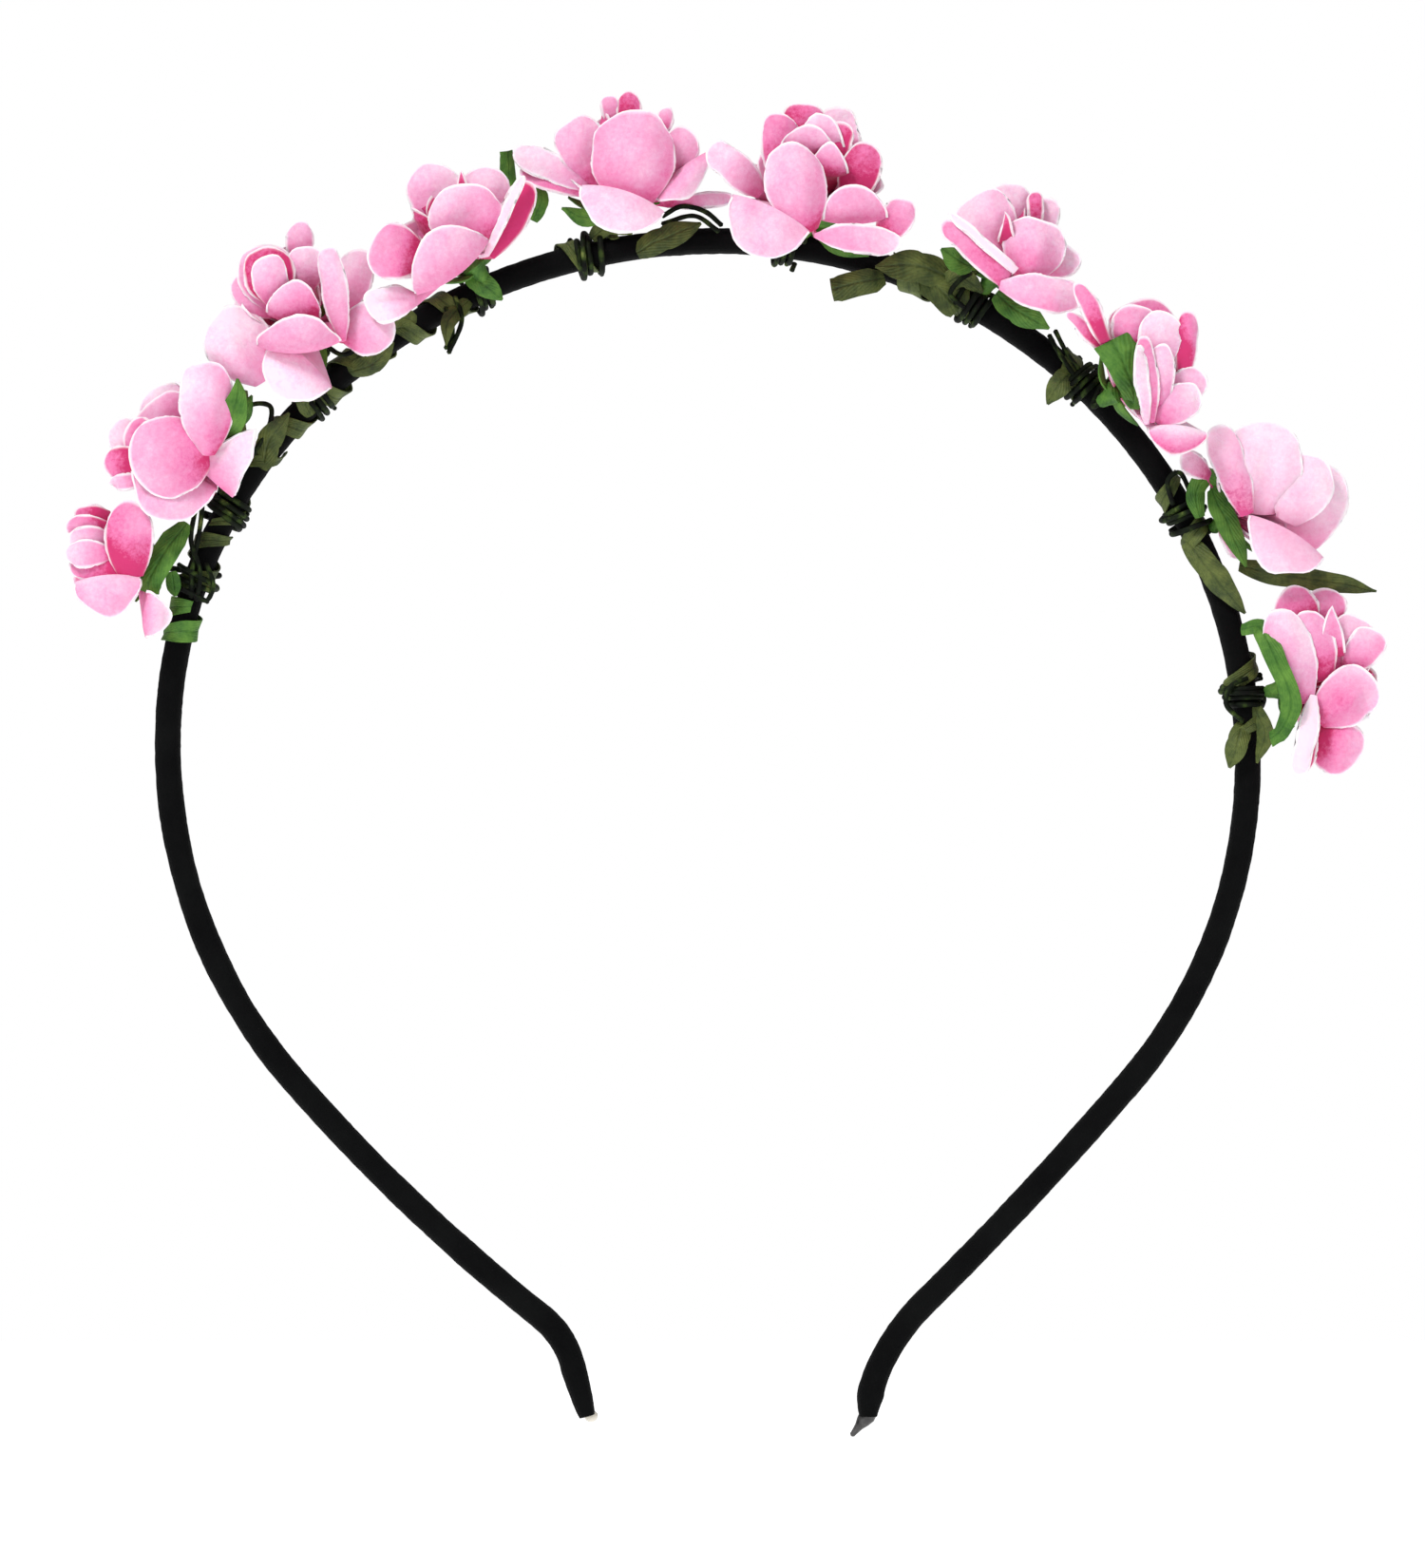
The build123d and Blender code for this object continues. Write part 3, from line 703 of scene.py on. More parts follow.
class Wires:
    """Collects wire strands, then makes one object of them."""

    def __init__(self, name):
        self.verts, self.faces, self.uvs = [], [], []
        self.random = random.Random(name)

    def add(self, points, radius=0.42):
        path = smooth_path(points, 0.3)
        radii = [radius * (1 + 0.13 * noise.noise(p * 1.3)) for p in path]
        verts, faces = tube_rings(path, radii)
        start = len(self.verts)
        self.verts += verts
        self.faces += [tuple(start + k for k in face) for face in faces]
        sides = 10
        for k in range(len(verts)):
            ring = k // sides
            self.uvs.append(((k % sides) / sides, ring * 0.3))

    def coil(self, s, turns, direction, start_angle=90, lift=0.5, pitch=1.3, sweep=-1):
        """Points of a wire wound round the band, unevenly."""
        points, steps = [], 12
        phase = self.random.uniform(0, 6)
        for k in range(int(turns * steps) + 1):
            u = k / steps
            wander = 0.35 * sin(2.1 * u + phase) + 0.2 * sin(4.7 * u + phase)
            place = s + direction * pitch * u + wander * 0.6
            points.append(round_band(place, start_angle + sweep * 360 * u, lift + 0.22 * (1 + sin(1.7 * u + phase))))
        return points

    def make(self, name):
        return build(name, self.verts, self.faces, [WIRE], uvs=self.uvs, sharp=60)


def lathe(verts, faces, slots, base, axis, profile, sides=18, slot=0):
    """A turned shape about an axis, from (distance along it, radius) pairs."""
    first = axis.orthogonal().normalized()
    second = axis.cross(first)
    start = len(verts)
    for along, radius in profile:
        for k in range(sides):
            a = 2 * pi * k / sides
            verts.append(base + axis * along + (first * cos(a) + second * sin(a)) * radius)
    rings = len(profile)
    for i in range(rings - 1):
        for k in range(sides):
            a, b = start + i * sides + k, start + i * sides + (k + 1) % sides
            faces.append((a, b, b + sides, a + sides))
            slots.append(slot)
    for ring, along in ((0, profile[0][0]), (rings - 1, profile[-1][0])):
        centre = len(verts)
        verts.append(base + axis * along)
        for k in range(sides):
            a = start + ring * sides + k
            b = start + ring * sides + (k + 1) % sides
            faces.append((centre, b, a) if ring == 0 else (centre, a, b))
            slots.append(slot)


# ---------------------------------------------------------------- the roses
# name: (middle, lean from +Z towards +X, tilt towards the viewer, size)
ROSES = {
    "rose_01": ((-78.4, -3.0, 28.6), -82, 14, 0.88),
    "rose_02": ((-69.2, -4.5, 44.2), -106, 18, 0.90),
    "rose_03": ((-54.6, -6.5, 62.2), -38, 36, 1.10),
    "rose_04": ((-33.6, -9.0, 71.2), -38, 10, 0.95),
    "rose_05": ((-11.5, -3.0, 81.4), 3, 10, 1.08),
    "rose_06": ((13.8, -8.0, 79.0), 5, 28, 1.10),
    "rose_07": ((40.6, -3.5, 70.2), 32, 10, 0.90),
    "rose_08": ((58.2, -8.0, 52.8), 60, 15, 0.90),
    "rose_09": ((73.4, -3.0, 37.2), 56, 12, 1.00),
    "rose_10": ((82.2, -3.0, 12.4), 82, 8, 1.05),
}

# The petals that show from the front: root and tip as (right, up, towards the viewer) from the rose's
# middle, then the width, and the shape where it isn't the usual one. "in" petals hug the bud.
SHOWN = {
    "rose_01": [
        ("in", (0.4, 5.6, 1), (-4.1, 5.2, 0.5), 3.4, dict(tone=0.75)),
        ("in", (0.4, 4.2, 2), (-5.0, 4.2, 1.5), 3.0, dict(tone=0.5, painted_side_shade=0.2)),
        ("in", (0.4, 2.8, 3), (-5.1, 2.6, 2.5), 3.2, dict(tone=0.1, painted_side_shade=0.2)),
        ("in", (0.6, 0.6, 4), (-5.0, 0.7, 3), 3.8, dict(tone=0.2)),
        ("in", (3.2, -1.2, 3.2), (-4.8, -1.4, 2.4), 3.4, dict(tone=0.65)),
        ("out", (3.3, -2.4, 4), (3.0, 7.3, 5), 6.6, dict(tone=0.62, wrap=60, share=0.5, painted_side_shade=-0.12)),
        ("out", (0.2, -2.3, 4.5), (0.6, -7.6, 4.6), 8.8, dict(tone=0.4, outline="half", painted_root_shade=-0.15)),
        ("out", (4.9, -7.4, 3.5), (8.2, -7.5, 3.4), 6.0, dict(tone=0.05, outline="half")),
    ],
    "rose_02": [
        ("in", (-3.2, -1.1, 1), (-8.7, 1.2, 0.5), 5, dict(tone=0.05)),
        ("in", (0.3, 1.6, 0), (-3.2, 6.7, 0), 7, dict(tone=0.08)),
        ("in", (0.7, 0, 1.5), (-3.2, 4.9, 1.5), 8.4, dict(tone=0.4)),
        ("in", (-2.2, -1.1, 3), (-6.2, 1.4, 2.6), 5, dict(tone=0.62)),
        ("in", (-4.0, -2.6, 3.4), (-9.0, -3.6, 2.6), 4.4, dict(tone=0.75)),
        ("in", (-4.0, -5.2, 3.2), (-8.3, -6.0, 2.6), 2.2, dict(tone=0.2)),
        ("out", (0.2, -4.4, 4), (-1.6, -10.6, 4.5), 11.6, dict(tone=0.28, outline="half", painted_root_shade=0.3)),
        ("out", (4.8, -5.3, 4), (10.4, 0.9, 4.5), 7.2, dict(tone=0.0, wrap=20, outline="point")),
        ("out", (4.6, -0.4, 4.5), (-5.2, -4.2, 6), 11.2,
         dict(tone=0.38, wrap=60, bulge=1.5, painted_side_shade=-0.06)),
        ("out", (4.5, -2.2, 6), (4.0, 10.1, 6.5), 8.0,
         dict(tone=0.16, wrap=95, share=0.2, painted_side_shade=0.3, crease=-0.4)),
    ],
    "rose_03": [
        ("in", (1.7, 5.1, 0), (1.5, 10.1, 0), 4.0, dict(tone=0.3)),
        ("in", (-0.5, -1.2, 2), (-6.4, 3.6, 2), 7.2, dict(tone=0.35)),
        ("in", (-1.2, -0.9, 3), (-3.9, 6.9, 3), 7.6, dict(tone=0.3)),
        ("in", (-1.2, -0.5, 4), (-3.0, 6.6, 4), 6.6, dict(tone=0.95, painted_root_shade=0.1)),
        ("in", (2.6, 1.5, 3), (2.8, 6.8, 3.5), 5.2, dict(tone=0.15)),
        ("in", (-1.2, -0.9, 5.4), (-2.5, 5.7, 6), 5.5, dict(tone=0.25, wrap=90)),
        ("out", (-2.6, -10.2, 2.5), (-9.1, -1.8, 3), 9.4, dict(tone=0.0, wrap=70, crease=0.8)),
        ("out", (7.4, -1.0, 1), (9.6, 6.6, 1), 5.2, dict(tone=0.1, painted_side_shade=0.15)),
        ("out", (7.2, -4.2, 4.5), (13.9, -3.4, 5), 7.4, dict(tone=0.18, painted_side_shade=0.12)),
        ("out", (1.0, -3.0, 7), (1.6, 2.3, 7.4), 7.6, dict(tone=0.35, wrap=80, painted_side_shade=0.3, outline="half")),
        ("out", (7.5, -5.4, 6.5), (5.6, 6.8, 7), 3.6, dict(tone=0.14, wrap=90, share=0.2)),
        ("out", (2.6, -7.8, 5.5), (-1.4, -12.4, 6), 10.2, dict(tone=-0.02, outline="half", painted_root_shade=0.4)),
        ("out", (1.9, -7.0, 8), (1.6, -2.2, 9), 11.6, dict(tone=0.34, outline="half", wrap=70, painted_root_shade=0.35)),
    ],
    "rose_04": [
        ("in", (0.5, -0.3, 1), (-3.1, 8.5, 1), 7.6, dict(tone=0.2, painted_side_shade=-0.15)),
        ("in", (4.1, 0.1, 1), (5.2, 8.3, 1), 7.0, dict(tone=0.22)),
        ("in", (2.3, 3.4, 2.2), (1.7, 7.6, 2), 2.2, dict(tone=0.9, outline="point")),
        ("in", (2.7, -2.6, 4.5), (2.1, 5.7, 5), 10.2,
         dict(tone=0.28, crease=0.8, wrap=80, painted_side_shade=0.15)),
        ("out", (5.9, -3.4, 2), (10.8, 6.4, 2.4), 4.4, dict(tone=1.2, painted_root_shade=0.0, share=0.15)),
        ("out", (5.2, -3.2, 3.6), (9.9, 7.0, 3.8), 1.3, dict(tone=-0.1, wrap=80, share=0.5, painted_root_shade=0.2)),
        ("out", (-3.0, -3.5, 5), (-9.8, -2.6, 5.5), 7.4, dict(tone=0.48, crease=0.4)),
        ("out", (-4.2, -9.0, 3.5), (-10.6, -9.9, 4), 4.8, dict(tone=-0.05, crease=0.7)),
        ("out", (1.5, -5.9, 7), (-2.2, -1.0, 8), 12.4,
         dict(tone=0.26, wrap=70, outline="half", painted_root_shade=0.4)),
    ],
    "rose_05": [
        ("in", (-0.3, 3.6, 1), (-0.8, 7.7, 1), 2.6, dict(tone=0.4)),
        ("in", (1.2, 3.6, 1.5), (1.8, 8.0, 1.4), 3.4, dict(tone=0.72)),
        ("in", (5.6, 2.6, 2), (6.5, 6.1, 2), 2.2, dict(tone=0.4)),
        ("out", (-2.2, -3.4, 3), (-6.4, 4.6, 3.5), 6.8, dict(tone=0.28)),
        ("out", (6.0, -3.6, 2.5), (9.4, 3.4, 3), 5.2, dict(tone=0.3)),
        ("out", (-4.5, -4.4, 2.4), (-12.8, -1.9, 2.2), 3.0, dict(tone=0.65, painted_root_shade=0.2, share=0.7)),
        ("out", (-4.0, -3.6, 3), (-13.5, 0.4, 3), 3.6, dict(tone=-0.02, share=0.7)),
        ("out", (6.6, -6.2, -1), (15.0, -5.2, -1), 2.0, dict(tone=0.2)),
        ("out", (2.2, -7.2, 5), (2.1, 5.4, 6.5), 11.8,
         dict(tone=0.42, bulge=2.4, wrap=75, centre_tone=-0.2, painted_root_shade=0.4)),
        ("out", (8.1, -2.3, 5.4), (10.1, -4.5, 5), 9.6, dict(tone=0.25, outline="half", painted_root_shade=0.3)),
        ("out", (1.1, -5.1, 8), (-0.6, -10.4, 8.5), 11.8,
         dict(tone=0.1, outline="half", wrap=60, painted_root_shade=0.15)),
    ],
    "rose_06": [
        ("in", (3.9, -0.7, 1), (3.3, 8.5, 1), 6.0, dict(tone=0.15)),
        ("in", (-0.5, 1.1, 2), (-1.0, 8.8, 2), 6.4, dict(tone=0.82)),
        ("in", (-3.2, -2, 2.6), (-4.4, 7.4, 2.6), 5.4, dict(tone=0.6)),
        ("in", (3.2, 1.1, 3.4), (3.7, 6.2, 3.6), 3.8, dict(tone=0.8)),
        ("in", (1.0, 2.2, 4), (1.2, 7.2, 4), 6.4, dict(tone=0.15, outline="half")),
        ("in", (-0.5, 2, 4.8), (-0.4, 5.8, 5), 7.0, dict(tone=0.25, outline="half")),
        ("in", (2.2, -0.7, 5.4), (2.4, 3.2, 5.6), 5.2, dict(tone=0.4, outline="half")),
        ("out", (5.0, -4, 3.5), (7.6, 3.6, 4), 5.6, dict(tone=0.8)),
        ("out", (-6.4, -2.8, 2.5), (-13.0, 3.2, 3), 4.6, dict(tone=0.1)),
        ("out", (9.6, -8.6, 5), (12.6, -4.0, 5.2), 4.4, dict(tone=0.4, share=0.7)),
        ("out", (5.7, -7.0, 6.4), (5.6, -2.1, 7), 8.8, dict(tone=0.4, outline="half", painted_root_shade=0.35)),
        ("out", (-0.6, -8.2, 6.5), (-3.0, 3.1, 7.5), 8.4,
         dict(tone=0.24, wrap=80, bulge=1.8, painted_side_shade=0.12, crease=-0.5)),
        ("out", (0.6, -8.7, 7.5), (11.4, -9.6, 8), 3.8, dict(tone=0.28, share=0.15, painted_root_shade=0.3)),
        ("out", (-4.9, -5.2, 8), (-7.8, -11.2, 8.5), 11.4,
         dict(tone=0.2, outline="half", crease=0.7, painted_root_shade=0.1)),
    ],
    "rose_07": [
        ("in", (-0.5, 0.9, 1.5), (-0.7, 7.2, 2), 5.8, dict(tone=0.12)),
        ("in", (3.0, 0.5, 1.6), (4.3, 5.4, 2), 4.0, dict(tone=0.1)),
        ("in", (2.7, 1.7, 3), (2.5, 6.2, 3), 2.0, dict(tone=0.85, painted_root_shade=0.0)),
        ("in", (-1.3, -0.5, 5.8), (-1.4, 3.5, 6), 2.0, dict(tone=0.9, outline="point")),
        ("out", (-1.6, -1.6, 4.5), (-5.6, 5.9, 5), 8.2, dict(tone=0.12, painted_side_shade=0.1)),
        ("out", (4.2, -4.2, 3.5), (7.4, -0.9, 4), 5.0, dict(tone=0.15)),
        ("out", (1.5, -5.2, 6), (3.2, 2.6, 6.5), 8.8, dict(tone=0.25, crease=-1.1, wrap=80)),
        ("out", (-1.4, -5.4, 7), (-9.4, 2.2, 7), 3.2, dict(tone=0.62, wrap=40, share=0.7, painted_root_shade=0.2)),
        ("out", (-0.1, -4.2, 7.5), (-8.6, 3.4, 7.4), 1.2, dict(tone=-0.2, share=0.9, painted_root_shade=0.0)),
        ("out", (-2.0, -6.1, 7.5), (8.4, -8.0, 7.5), 4.9,
         dict(tone=0.36, share=0.25, painted_side_shade=0.15, painted_root_shade=0.1)),
    ],
    "rose_08": [
        ("in", (-1.2, 1.5, 2.5), (-1.2, 9.3, 3), 9.0, dict(tone=0.68)),
        ("in", (-2.3, 2.3, 4), (-1.8, 8.6, 4.2), 6.8, dict(tone=0.45)),
        ("in", (0.8, 0.3, 5), (1.3, 7.8, 5.5), 5.6, dict(tone=-0.02)),
        ("in", (4.1, -0.9, 4.8), (4.7, 7.6, 5), 3.2, dict(tone=0.7, painted_side_shade=-0.3, wrap=90)),
        ("out", (-6.4, 3.0, 4.5), (-11.0, 7.6, 5), 1.8, dict(tone=0.6, share=0.6)),
        ("out", (-6.0, 3.6, 5.5), (-9.8, 11.2, 6), 2.4, dict(tone=0.62, share=0.6, bulge=2)),
        ("out", (0.4, -5.0, 5), (6.6, -0.3, 5.2), 4.6, dict(tone=0.3)),
        ("out", (0.4, -6.3, 6), (5.9, -2.6, 6), 5.0, dict(tone=0.18)),
        ("out", (1.0, -5.4, 6.2), (1.2, 3.4, 6.4), 3.6, dict(tone=0.2, wrap=80)),
        ("out", (-0.2, -6.7, 6.8), (-1.2, 4.2, 7), 3.0, dict(tone=0.6, wrap=80, share=0.3, painted_root_shade=0.2)),
        ("out", (-0.8, -6.9, 7.2), (-1.9, 3.4, 7.4), 1.8, dict(tone=0.05, share=0.3, painted_root_shade=0.2)),
        ("out", (3.2, -7.2, 6.8), (2.9, -10.9, 6.8), 7.8, dict(tone=0.85, outline="half", painted_root_shade=-0.95)),
    ],
    "rose_09": [
        ("out", (4.6, -7.3, 3.4), (8.4, 3.4, 4), 7.9, dict(tone=0.1)),
        ("out", (-7.4, 2.2, 3), (-11.2, 4.7, 3), 2.8, dict(tone=0.4)),
        ("out", (-5.7, -4.9, 1), (-3.6, -8.5, 1), 1.6, dict(tone=0.5)),
        ("out", (-1.0, -2.8, 5), (0.0, 9.3, 6), 10.4, dict(tone=0.14, bulge=2, crease=0.9, painted_root_shade=0.45)),
        ("out", (2.6, -3.8, 5.4), (6.6, 4.4, 6.2), 7.6, dict(tone=0.12, painted_root_shade=0.4, centre_tone=0.12)),
        ("out", (-2.6, -2.9, 6.6), (-6.7, 8.6, 7), 4.6, dict(tone=0.42, wrap=80)),
        ("out", (2.9, -5.2, 7.5), (0.0, -10.2, 8), 11.4,
         dict(tone=0.3, outline="half", painted_root_shade=0.25)),
    ],
    "rose_10": [
        ("in", (-0.5, 7.2, 3.6), (-1.9, 11.8, 3.8), 6.0, dict(tone=0.5)),
        ("in", (-2.8, 6.7, 4.4), (-6.6, 11.8, 4.6), 5.8, dict(tone=0.6)),
        ("in", (0.4, 1.8, 4), (3.4, 8.6, 4.5), 5.6, dict(tone=0.2)),
        ("in", (1.7, 1.8, 4.8), (5.9, 6.6, 5), 4.6, dict(tone=0.3, painted_side_shade=0.2)),
        ("in", (-0.5, 3.4, 5.6), (-0.3, 9.7, 6), 3.8, dict(tone=0.5, outline="point")),
        ("out", (-2.2, -6.6, 5.2), (2.9, -10.4, 5.6), 7.6, dict(tone=0.5, painted_side_shade=0.1)),
        ("out", (-2.2, -4.8, 6), (5.0, 0.4, 6.5), 7.4, dict(tone=0.2, crease=-0.7, centre_tone=0.35)),
        ("out", (-1.0, 0.4, 5.6), (-3.8, 9.1, 6.2), 5.0, dict(tone=0.42)),
        ("out", (-3.4, -5.6, 6.6), (-4.0, -11.4, 6.8), 2.6, dict(tone=0.8)),
        ("out", (-3.9, -2.7, 6.8), (-7.6, 9.3, 7.4), 6.8, dict(tone=0.2, wrap=80, painted_side_shade=-0.3)),
        ("out", (-2.8, -1.8, 7.4), (-4.7, -12.0, 7.6), 2.8, dict(tone=-0.15, share=0.3, painted_root_shade=0.0)),
    ],
}
# The petals that every rose has round its bud and at its back: (heading, height, angle off the axis,
# length, width, bulge, wrap, tone).
BUD_RING = [
    (40, 2.8, 4, 8.6, 6.2, 1.2, 190, 0.86),
    (160, 2.6, 4, 8.8, 6.6, 1.2, 180, 0.82),
    (280, 2.4, 5, 9.0, 7.2, 1.3, 170, 0.78),
]
INNER_RING = [
    (180, 1.6, 20, 9.6, 8.4, 1.6, 120, 0.5),
    (120, 1.4, 24, 9.4, 8.0, 1.5, 110, 0.55),
    (-115, 1.4, 22, 9.4, 8.0, 1.5, 110, 0.45),
]
OUTER_RING = [
    (150, 0.6, 46, 9.6, 9.4, 1.2, 80, 0.28),
    (-150, 0.4, 52, 9.8, 9.6, 1.1, 75, 0.22),
    (95, 0.4, 60, 9.2, 8.6, 1.0, 60, 0.3),
    (-95, 0.4, 58, 9.2, 8.6, 1.0, 60, 0.26),
    (180, 0.0, 74, 9.4, 9.6, 0.8, 60, 0.2),
]
# Share of their length that the outer ring's petals have in a rose that is less open than the rest.
RING_REACH = {"rose_01": 0.82, "rose_02": 0.84}


def make_rose(name, paper, inner_paper):
    """The bud, inner petals and outer petals of one rose, as three pieces."""
    rose = Rose(name, *ROSES[name])
    size = rose.size
    bud, inner, outer = Sheets(), Sheets(), Sheets()
    bud_roll(rose, bud, 4.0 * size, 7.2 * size, 2.2, 2.2 * size, 0.8)
    for ring, sheets in ((BUD_RING, bud), (INNER_RING, inner), (OUTER_RING, outer)):
        for heading, height, angle, length, width, bulge, wrap, tone in ring:
            heading += rose.random.uniform(-10, 10)
            reach = length * size * (RING_REACH.get(name, 1.0) if ring is OUTER_RING else 1.0)
            ring_petal(rose, sheets, heading, height * size, angle, reach, width * size, bulge, wrap, tone)
    for where, root, tip, width, shape in SHOWN[name]:
        shown_petal(rose, inner if where == "in" else outer, root, tip, width, **shape)
    pieces = [
        (bud.make(f"{name}_bud_paper", [inner_paper, inner_paper, WHITE_RIM]), "bud", "bud_paper"),
        (inner.make(f"{name}_inner_paper", [paper, paper, WHITE_RIM]), "inner_petals", "inner_petal_paper"),
        (outer.make(f"{name}_outer_paper", [paper, paper, WHITE_RIM]), "outer_petals", "outer_petal_paper"),
    ]
    for piece, part, slot in pieces:
        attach(piece, "crown")
        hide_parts(f"{name}_{part}")
    return rose


# Sepals that show: (points, width, roll at the start and end, kind), in millimetres from the origin.
SEPALS = {
    "rose_01": [([(-68, 33.3, 3.6), (-70.3, 30, 5), (-72.6, 26.2, 5.6), (-73, 24.3, 5)], 3.6, 0, 20, "strap"),
                ([(-70, 26.8, 4.4), (-69.5, 23.6, 4)], 1.8, 0, 0, "leaf")],
    "rose_02": [([(-63.8, 45.6, 4), (-62.4, 45.6, 9), (-61, 48.8, 11.4), (-61, 51.8, 11)], 3.6, -15, 10, "leaf"),
                ([(-62.6, 45.6, 5), (-60.6, 47.4, 6.5), (-59.4, 50, 6)], 2.4, 10, 40, "leaf")],
    "rose_03": [([(-50.8, 58.8, 3.6), (-49.4, 61.8, 5.4), (-46.4, 62.8, 5.2), (-43.6, 61.2, 4)], 1.2, 0, 0, "strap"),
                ([(-51, 57.5, 3), (-51.2, 53, 4.4), (-53.6, 49, 4)], 2.8, 0, 30, "leaf")],
    "rose_04": [([(-24.2, 73.6, 3), (-25.6, 77.4, 4), (-26, 82, 4.6)], 2.5, 0, 50, "strap"),
                ([(-22.6, 72.8, 3), (-21.4, 75.8, 3.6), (-22.1, 78, 3.4)], 2.0, 0, 30, "leaf"),
                ([(-31, 66.4, 7), (-29, 64.4, 8), (-26.4, 62.6, 7)], 3.2, 0, 20, "leaf")],
    "rose_05": [([(-12, 74.6, 2.6), (-15.4, 73.4, 4.4), (-18.8, 74.6, 5)], 2.4, 0, 20, "leaf")],
    "rose_06": [([(13.4, 73, 1), (17.8, 69.8, 3), (21.6, 68.4, 3.4)], 2.6, 0, 20, "leaf")],
    "rose_07": [([(35, 66.8, 5.6), (33, 67.6, 7.4), (30.8, 68.9, 7.6)], 3.2, 0, 20, "leaf"),
                ([(38.2, 63.4, 4.6), (41.2, 61, 6), (45, 58.8, 5.4)], 3.6, 0, 20, "leaf")],
    "rose_08": [([(54.6, 50.2, 8), (56, 49.2, 12), (54.9, 53, 14.2), (53, 56.8, 13.6)], 5.8, -10, 10, "wedge")],
    "rose_09": [([(65, 34, 4), (64.2, 37.6, 5), (66, 39.3, 5.4), (68.4, 37.2, 5)], 2.6, 0, 60, "strap"),
                ([(66.4, 37.8, 4.6), (68.4, 33.4, 6), (70.8, 27.6, 5)], 3.0, 20, 0, "leaf")],
    "rose_10": [([(70.2, 19.3, 7), (72.6, 19.4, 9.6), (74.3, 15.6, 11.8), (76, 11.6, 12.2), (76.4, 8.4, 11.8),
                  (75.2, 6.0, 10.8), (73.7, 5.0, 9.4)], 2.6, -10, 30, "strap"),
                 ([(75.2, 11.0, 2), (75.6, 11.2, 7), (76, 11.6, 11.8)], 2.2, 0, 0, "strap")],
}


# Bright green tape wound round the band under a rose, as in WRAPS.
COLLARS = {"rose_01": (9.4, 13.8, 1.3, 3.0, 0)}


def make_calyx(rose):
    """Sepals under one rose, round the green swelling at the top of its wire."""
    sheets = Sheets()
    size = rose.size
    for k in range(4):
        out = rose.out(90 + 60 * k + rose.random.uniform(-12, 12))
        root = rose.base - rose.axis * 0.5
        reach = (5.2 + rose.random.uniform(-0.6, 0.8)) * size
        points = [root + out * 0.4, root + out * reach * 0.5 + rose.axis * 0.2,
                  root + out * reach + rose.axis * 1.4]
        green_part(sheets, [(p.x, p.z, -p.y) for p in points], 2.8 * size, 70, 60, "sepal")
    for points, width, start_roll, end_roll, kind in SEPALS[rose.name]:
        green_part(sheets, points, width, start_roll, end_roll, kind)
    if rose.name in COLLARS:
        wound_strip(sheets, *COLLARS[rose.name])
    swelling = [(-2.6, 0.55), (-2.2, 0.85), (-1.4, 1.0), (-0.6, 1.3), (0.0, 1.75), (0.5, 1.5), (0.9, 0.8)]
    first = len(sheets.verts)
    lathe(sheets.verts, sheets.faces, sheets.slots, rose.base, rose.axis, swelling)
    for k in range(len(sheets.verts) - first):
        sheets.tone.append(0.5)
        sheets.rim.append(0.0)
        sheets.along.append(k / 18 / 7)
        sheets.across.append((k % 18) / 18)
    piece = sheets.make(f"{rose.name}_sepals", [SEPAL, SEPAL, SEPAL_EDGE])
    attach(piece, "crown")
    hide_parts(f"{rose.name}_calyx")


# Coils: (start along the crown, turns, direction, angle where the wire reaches the band)
COILS = {
    "rose_01": (19.0, 2, -1, 180), "rose_02": (29.5, 3, -1, 0), "rose_03": (48.0, 2, -1, 0),
    "rose_04": (74.0, 2, -1, 0), "rose_05": (89.0, 3, -1, 0), "rose_06": (115.0, 2, -1, 0),
    "rose_07": (141.5, 4, -1, 0), "rose_08": (158.6, 3, -1, 0), "rose_09": (181.0, 3, -1, 0),
    "rose_10": (206.0, 3, -1, 0),
}
# Loops and tails of the wires, through points of (right, up, towards the viewer) from the origin.
STRANDS = {
    "rose_01": [[(-65.9, 36.2, 3), (-66.3, 32.3, 3.6), (-67.2, 27.6, 3.7), (-67.4, 23.6, 3)],
                [(-66.8, 35.4, 3.2), (-67.4, 31, 3.9), (-66.2, 27, 3.9), (-66.7, 23.2, 3.2)],
                [(-65.5, 28, 3.4), (-64.5, 25.4, 3.8), (-65.3, 23.2, 3.6), (-67, 23.8, 3.4)]],
    "rose_02": [[(-62.6, 44.8, 4), (-60, 48.5, 4.6), (-57, 48.6, 4.4), (-57.3, 45.6, 4.2),
                 (-59.5, 42, 3.8), (-62.3, 37.8, 3.4)]],
    "rose_03": [[(-50.6, 57.4, 3.4), (-47.6, 55.4, 4), (-44.6, 56.8, 3.8), (-41, 58.8, 3.2)]],
    "rose_04": [[(-32.8, 63, 3.2), (-31.9, 59.8, 3.8), (-33.6, 55.6, 4)],
                [(-34, 61.6, 3.2), (-33.1, 58.5, 3.6), (-34, 56.2, 3.4)]],
    "rose_05": [[(-5.6, 73.6, 2.8), (-3, 74.9, 3), (0, 74.2, 3.2), (2.2, 72.4, 3.2)],
                [(-5.6, 72.6, 3), (-1.4, 73.6, 3.5), (1.8, 71.6, 3.4)]],
    "rose_06": [[(11.8, 67.4, 3.2), (11.4, 66.4, 3.8)]],
    "rose_07": [[(36.6, 66.4, 3), (34, 65.6, 4.2), (32.2, 63.4, 4), (34, 61.6, 3.6)]],
    "rose_08": [[(46, 58.6, 2.6), (47.4, 55.8, 3.4), (49, 53.6, 3.2)],
                [(45.2, 58, 2.8), (46.6, 55.4, 3.6), (48.4, 52.8, 3.4)]],
    "rose_09": [[(63.8, 37.2, 3.2), (62.3, 39.9, 3.8), (60.7, 38.8, 3.8), (61.4, 35.8, 3.2)]],
    "rose_10": [[(71.2, 13, 3), (69, 11.9, 3.8), (68.4, 9.5, 3.8), (70.6, 7.3, 3)]],
}


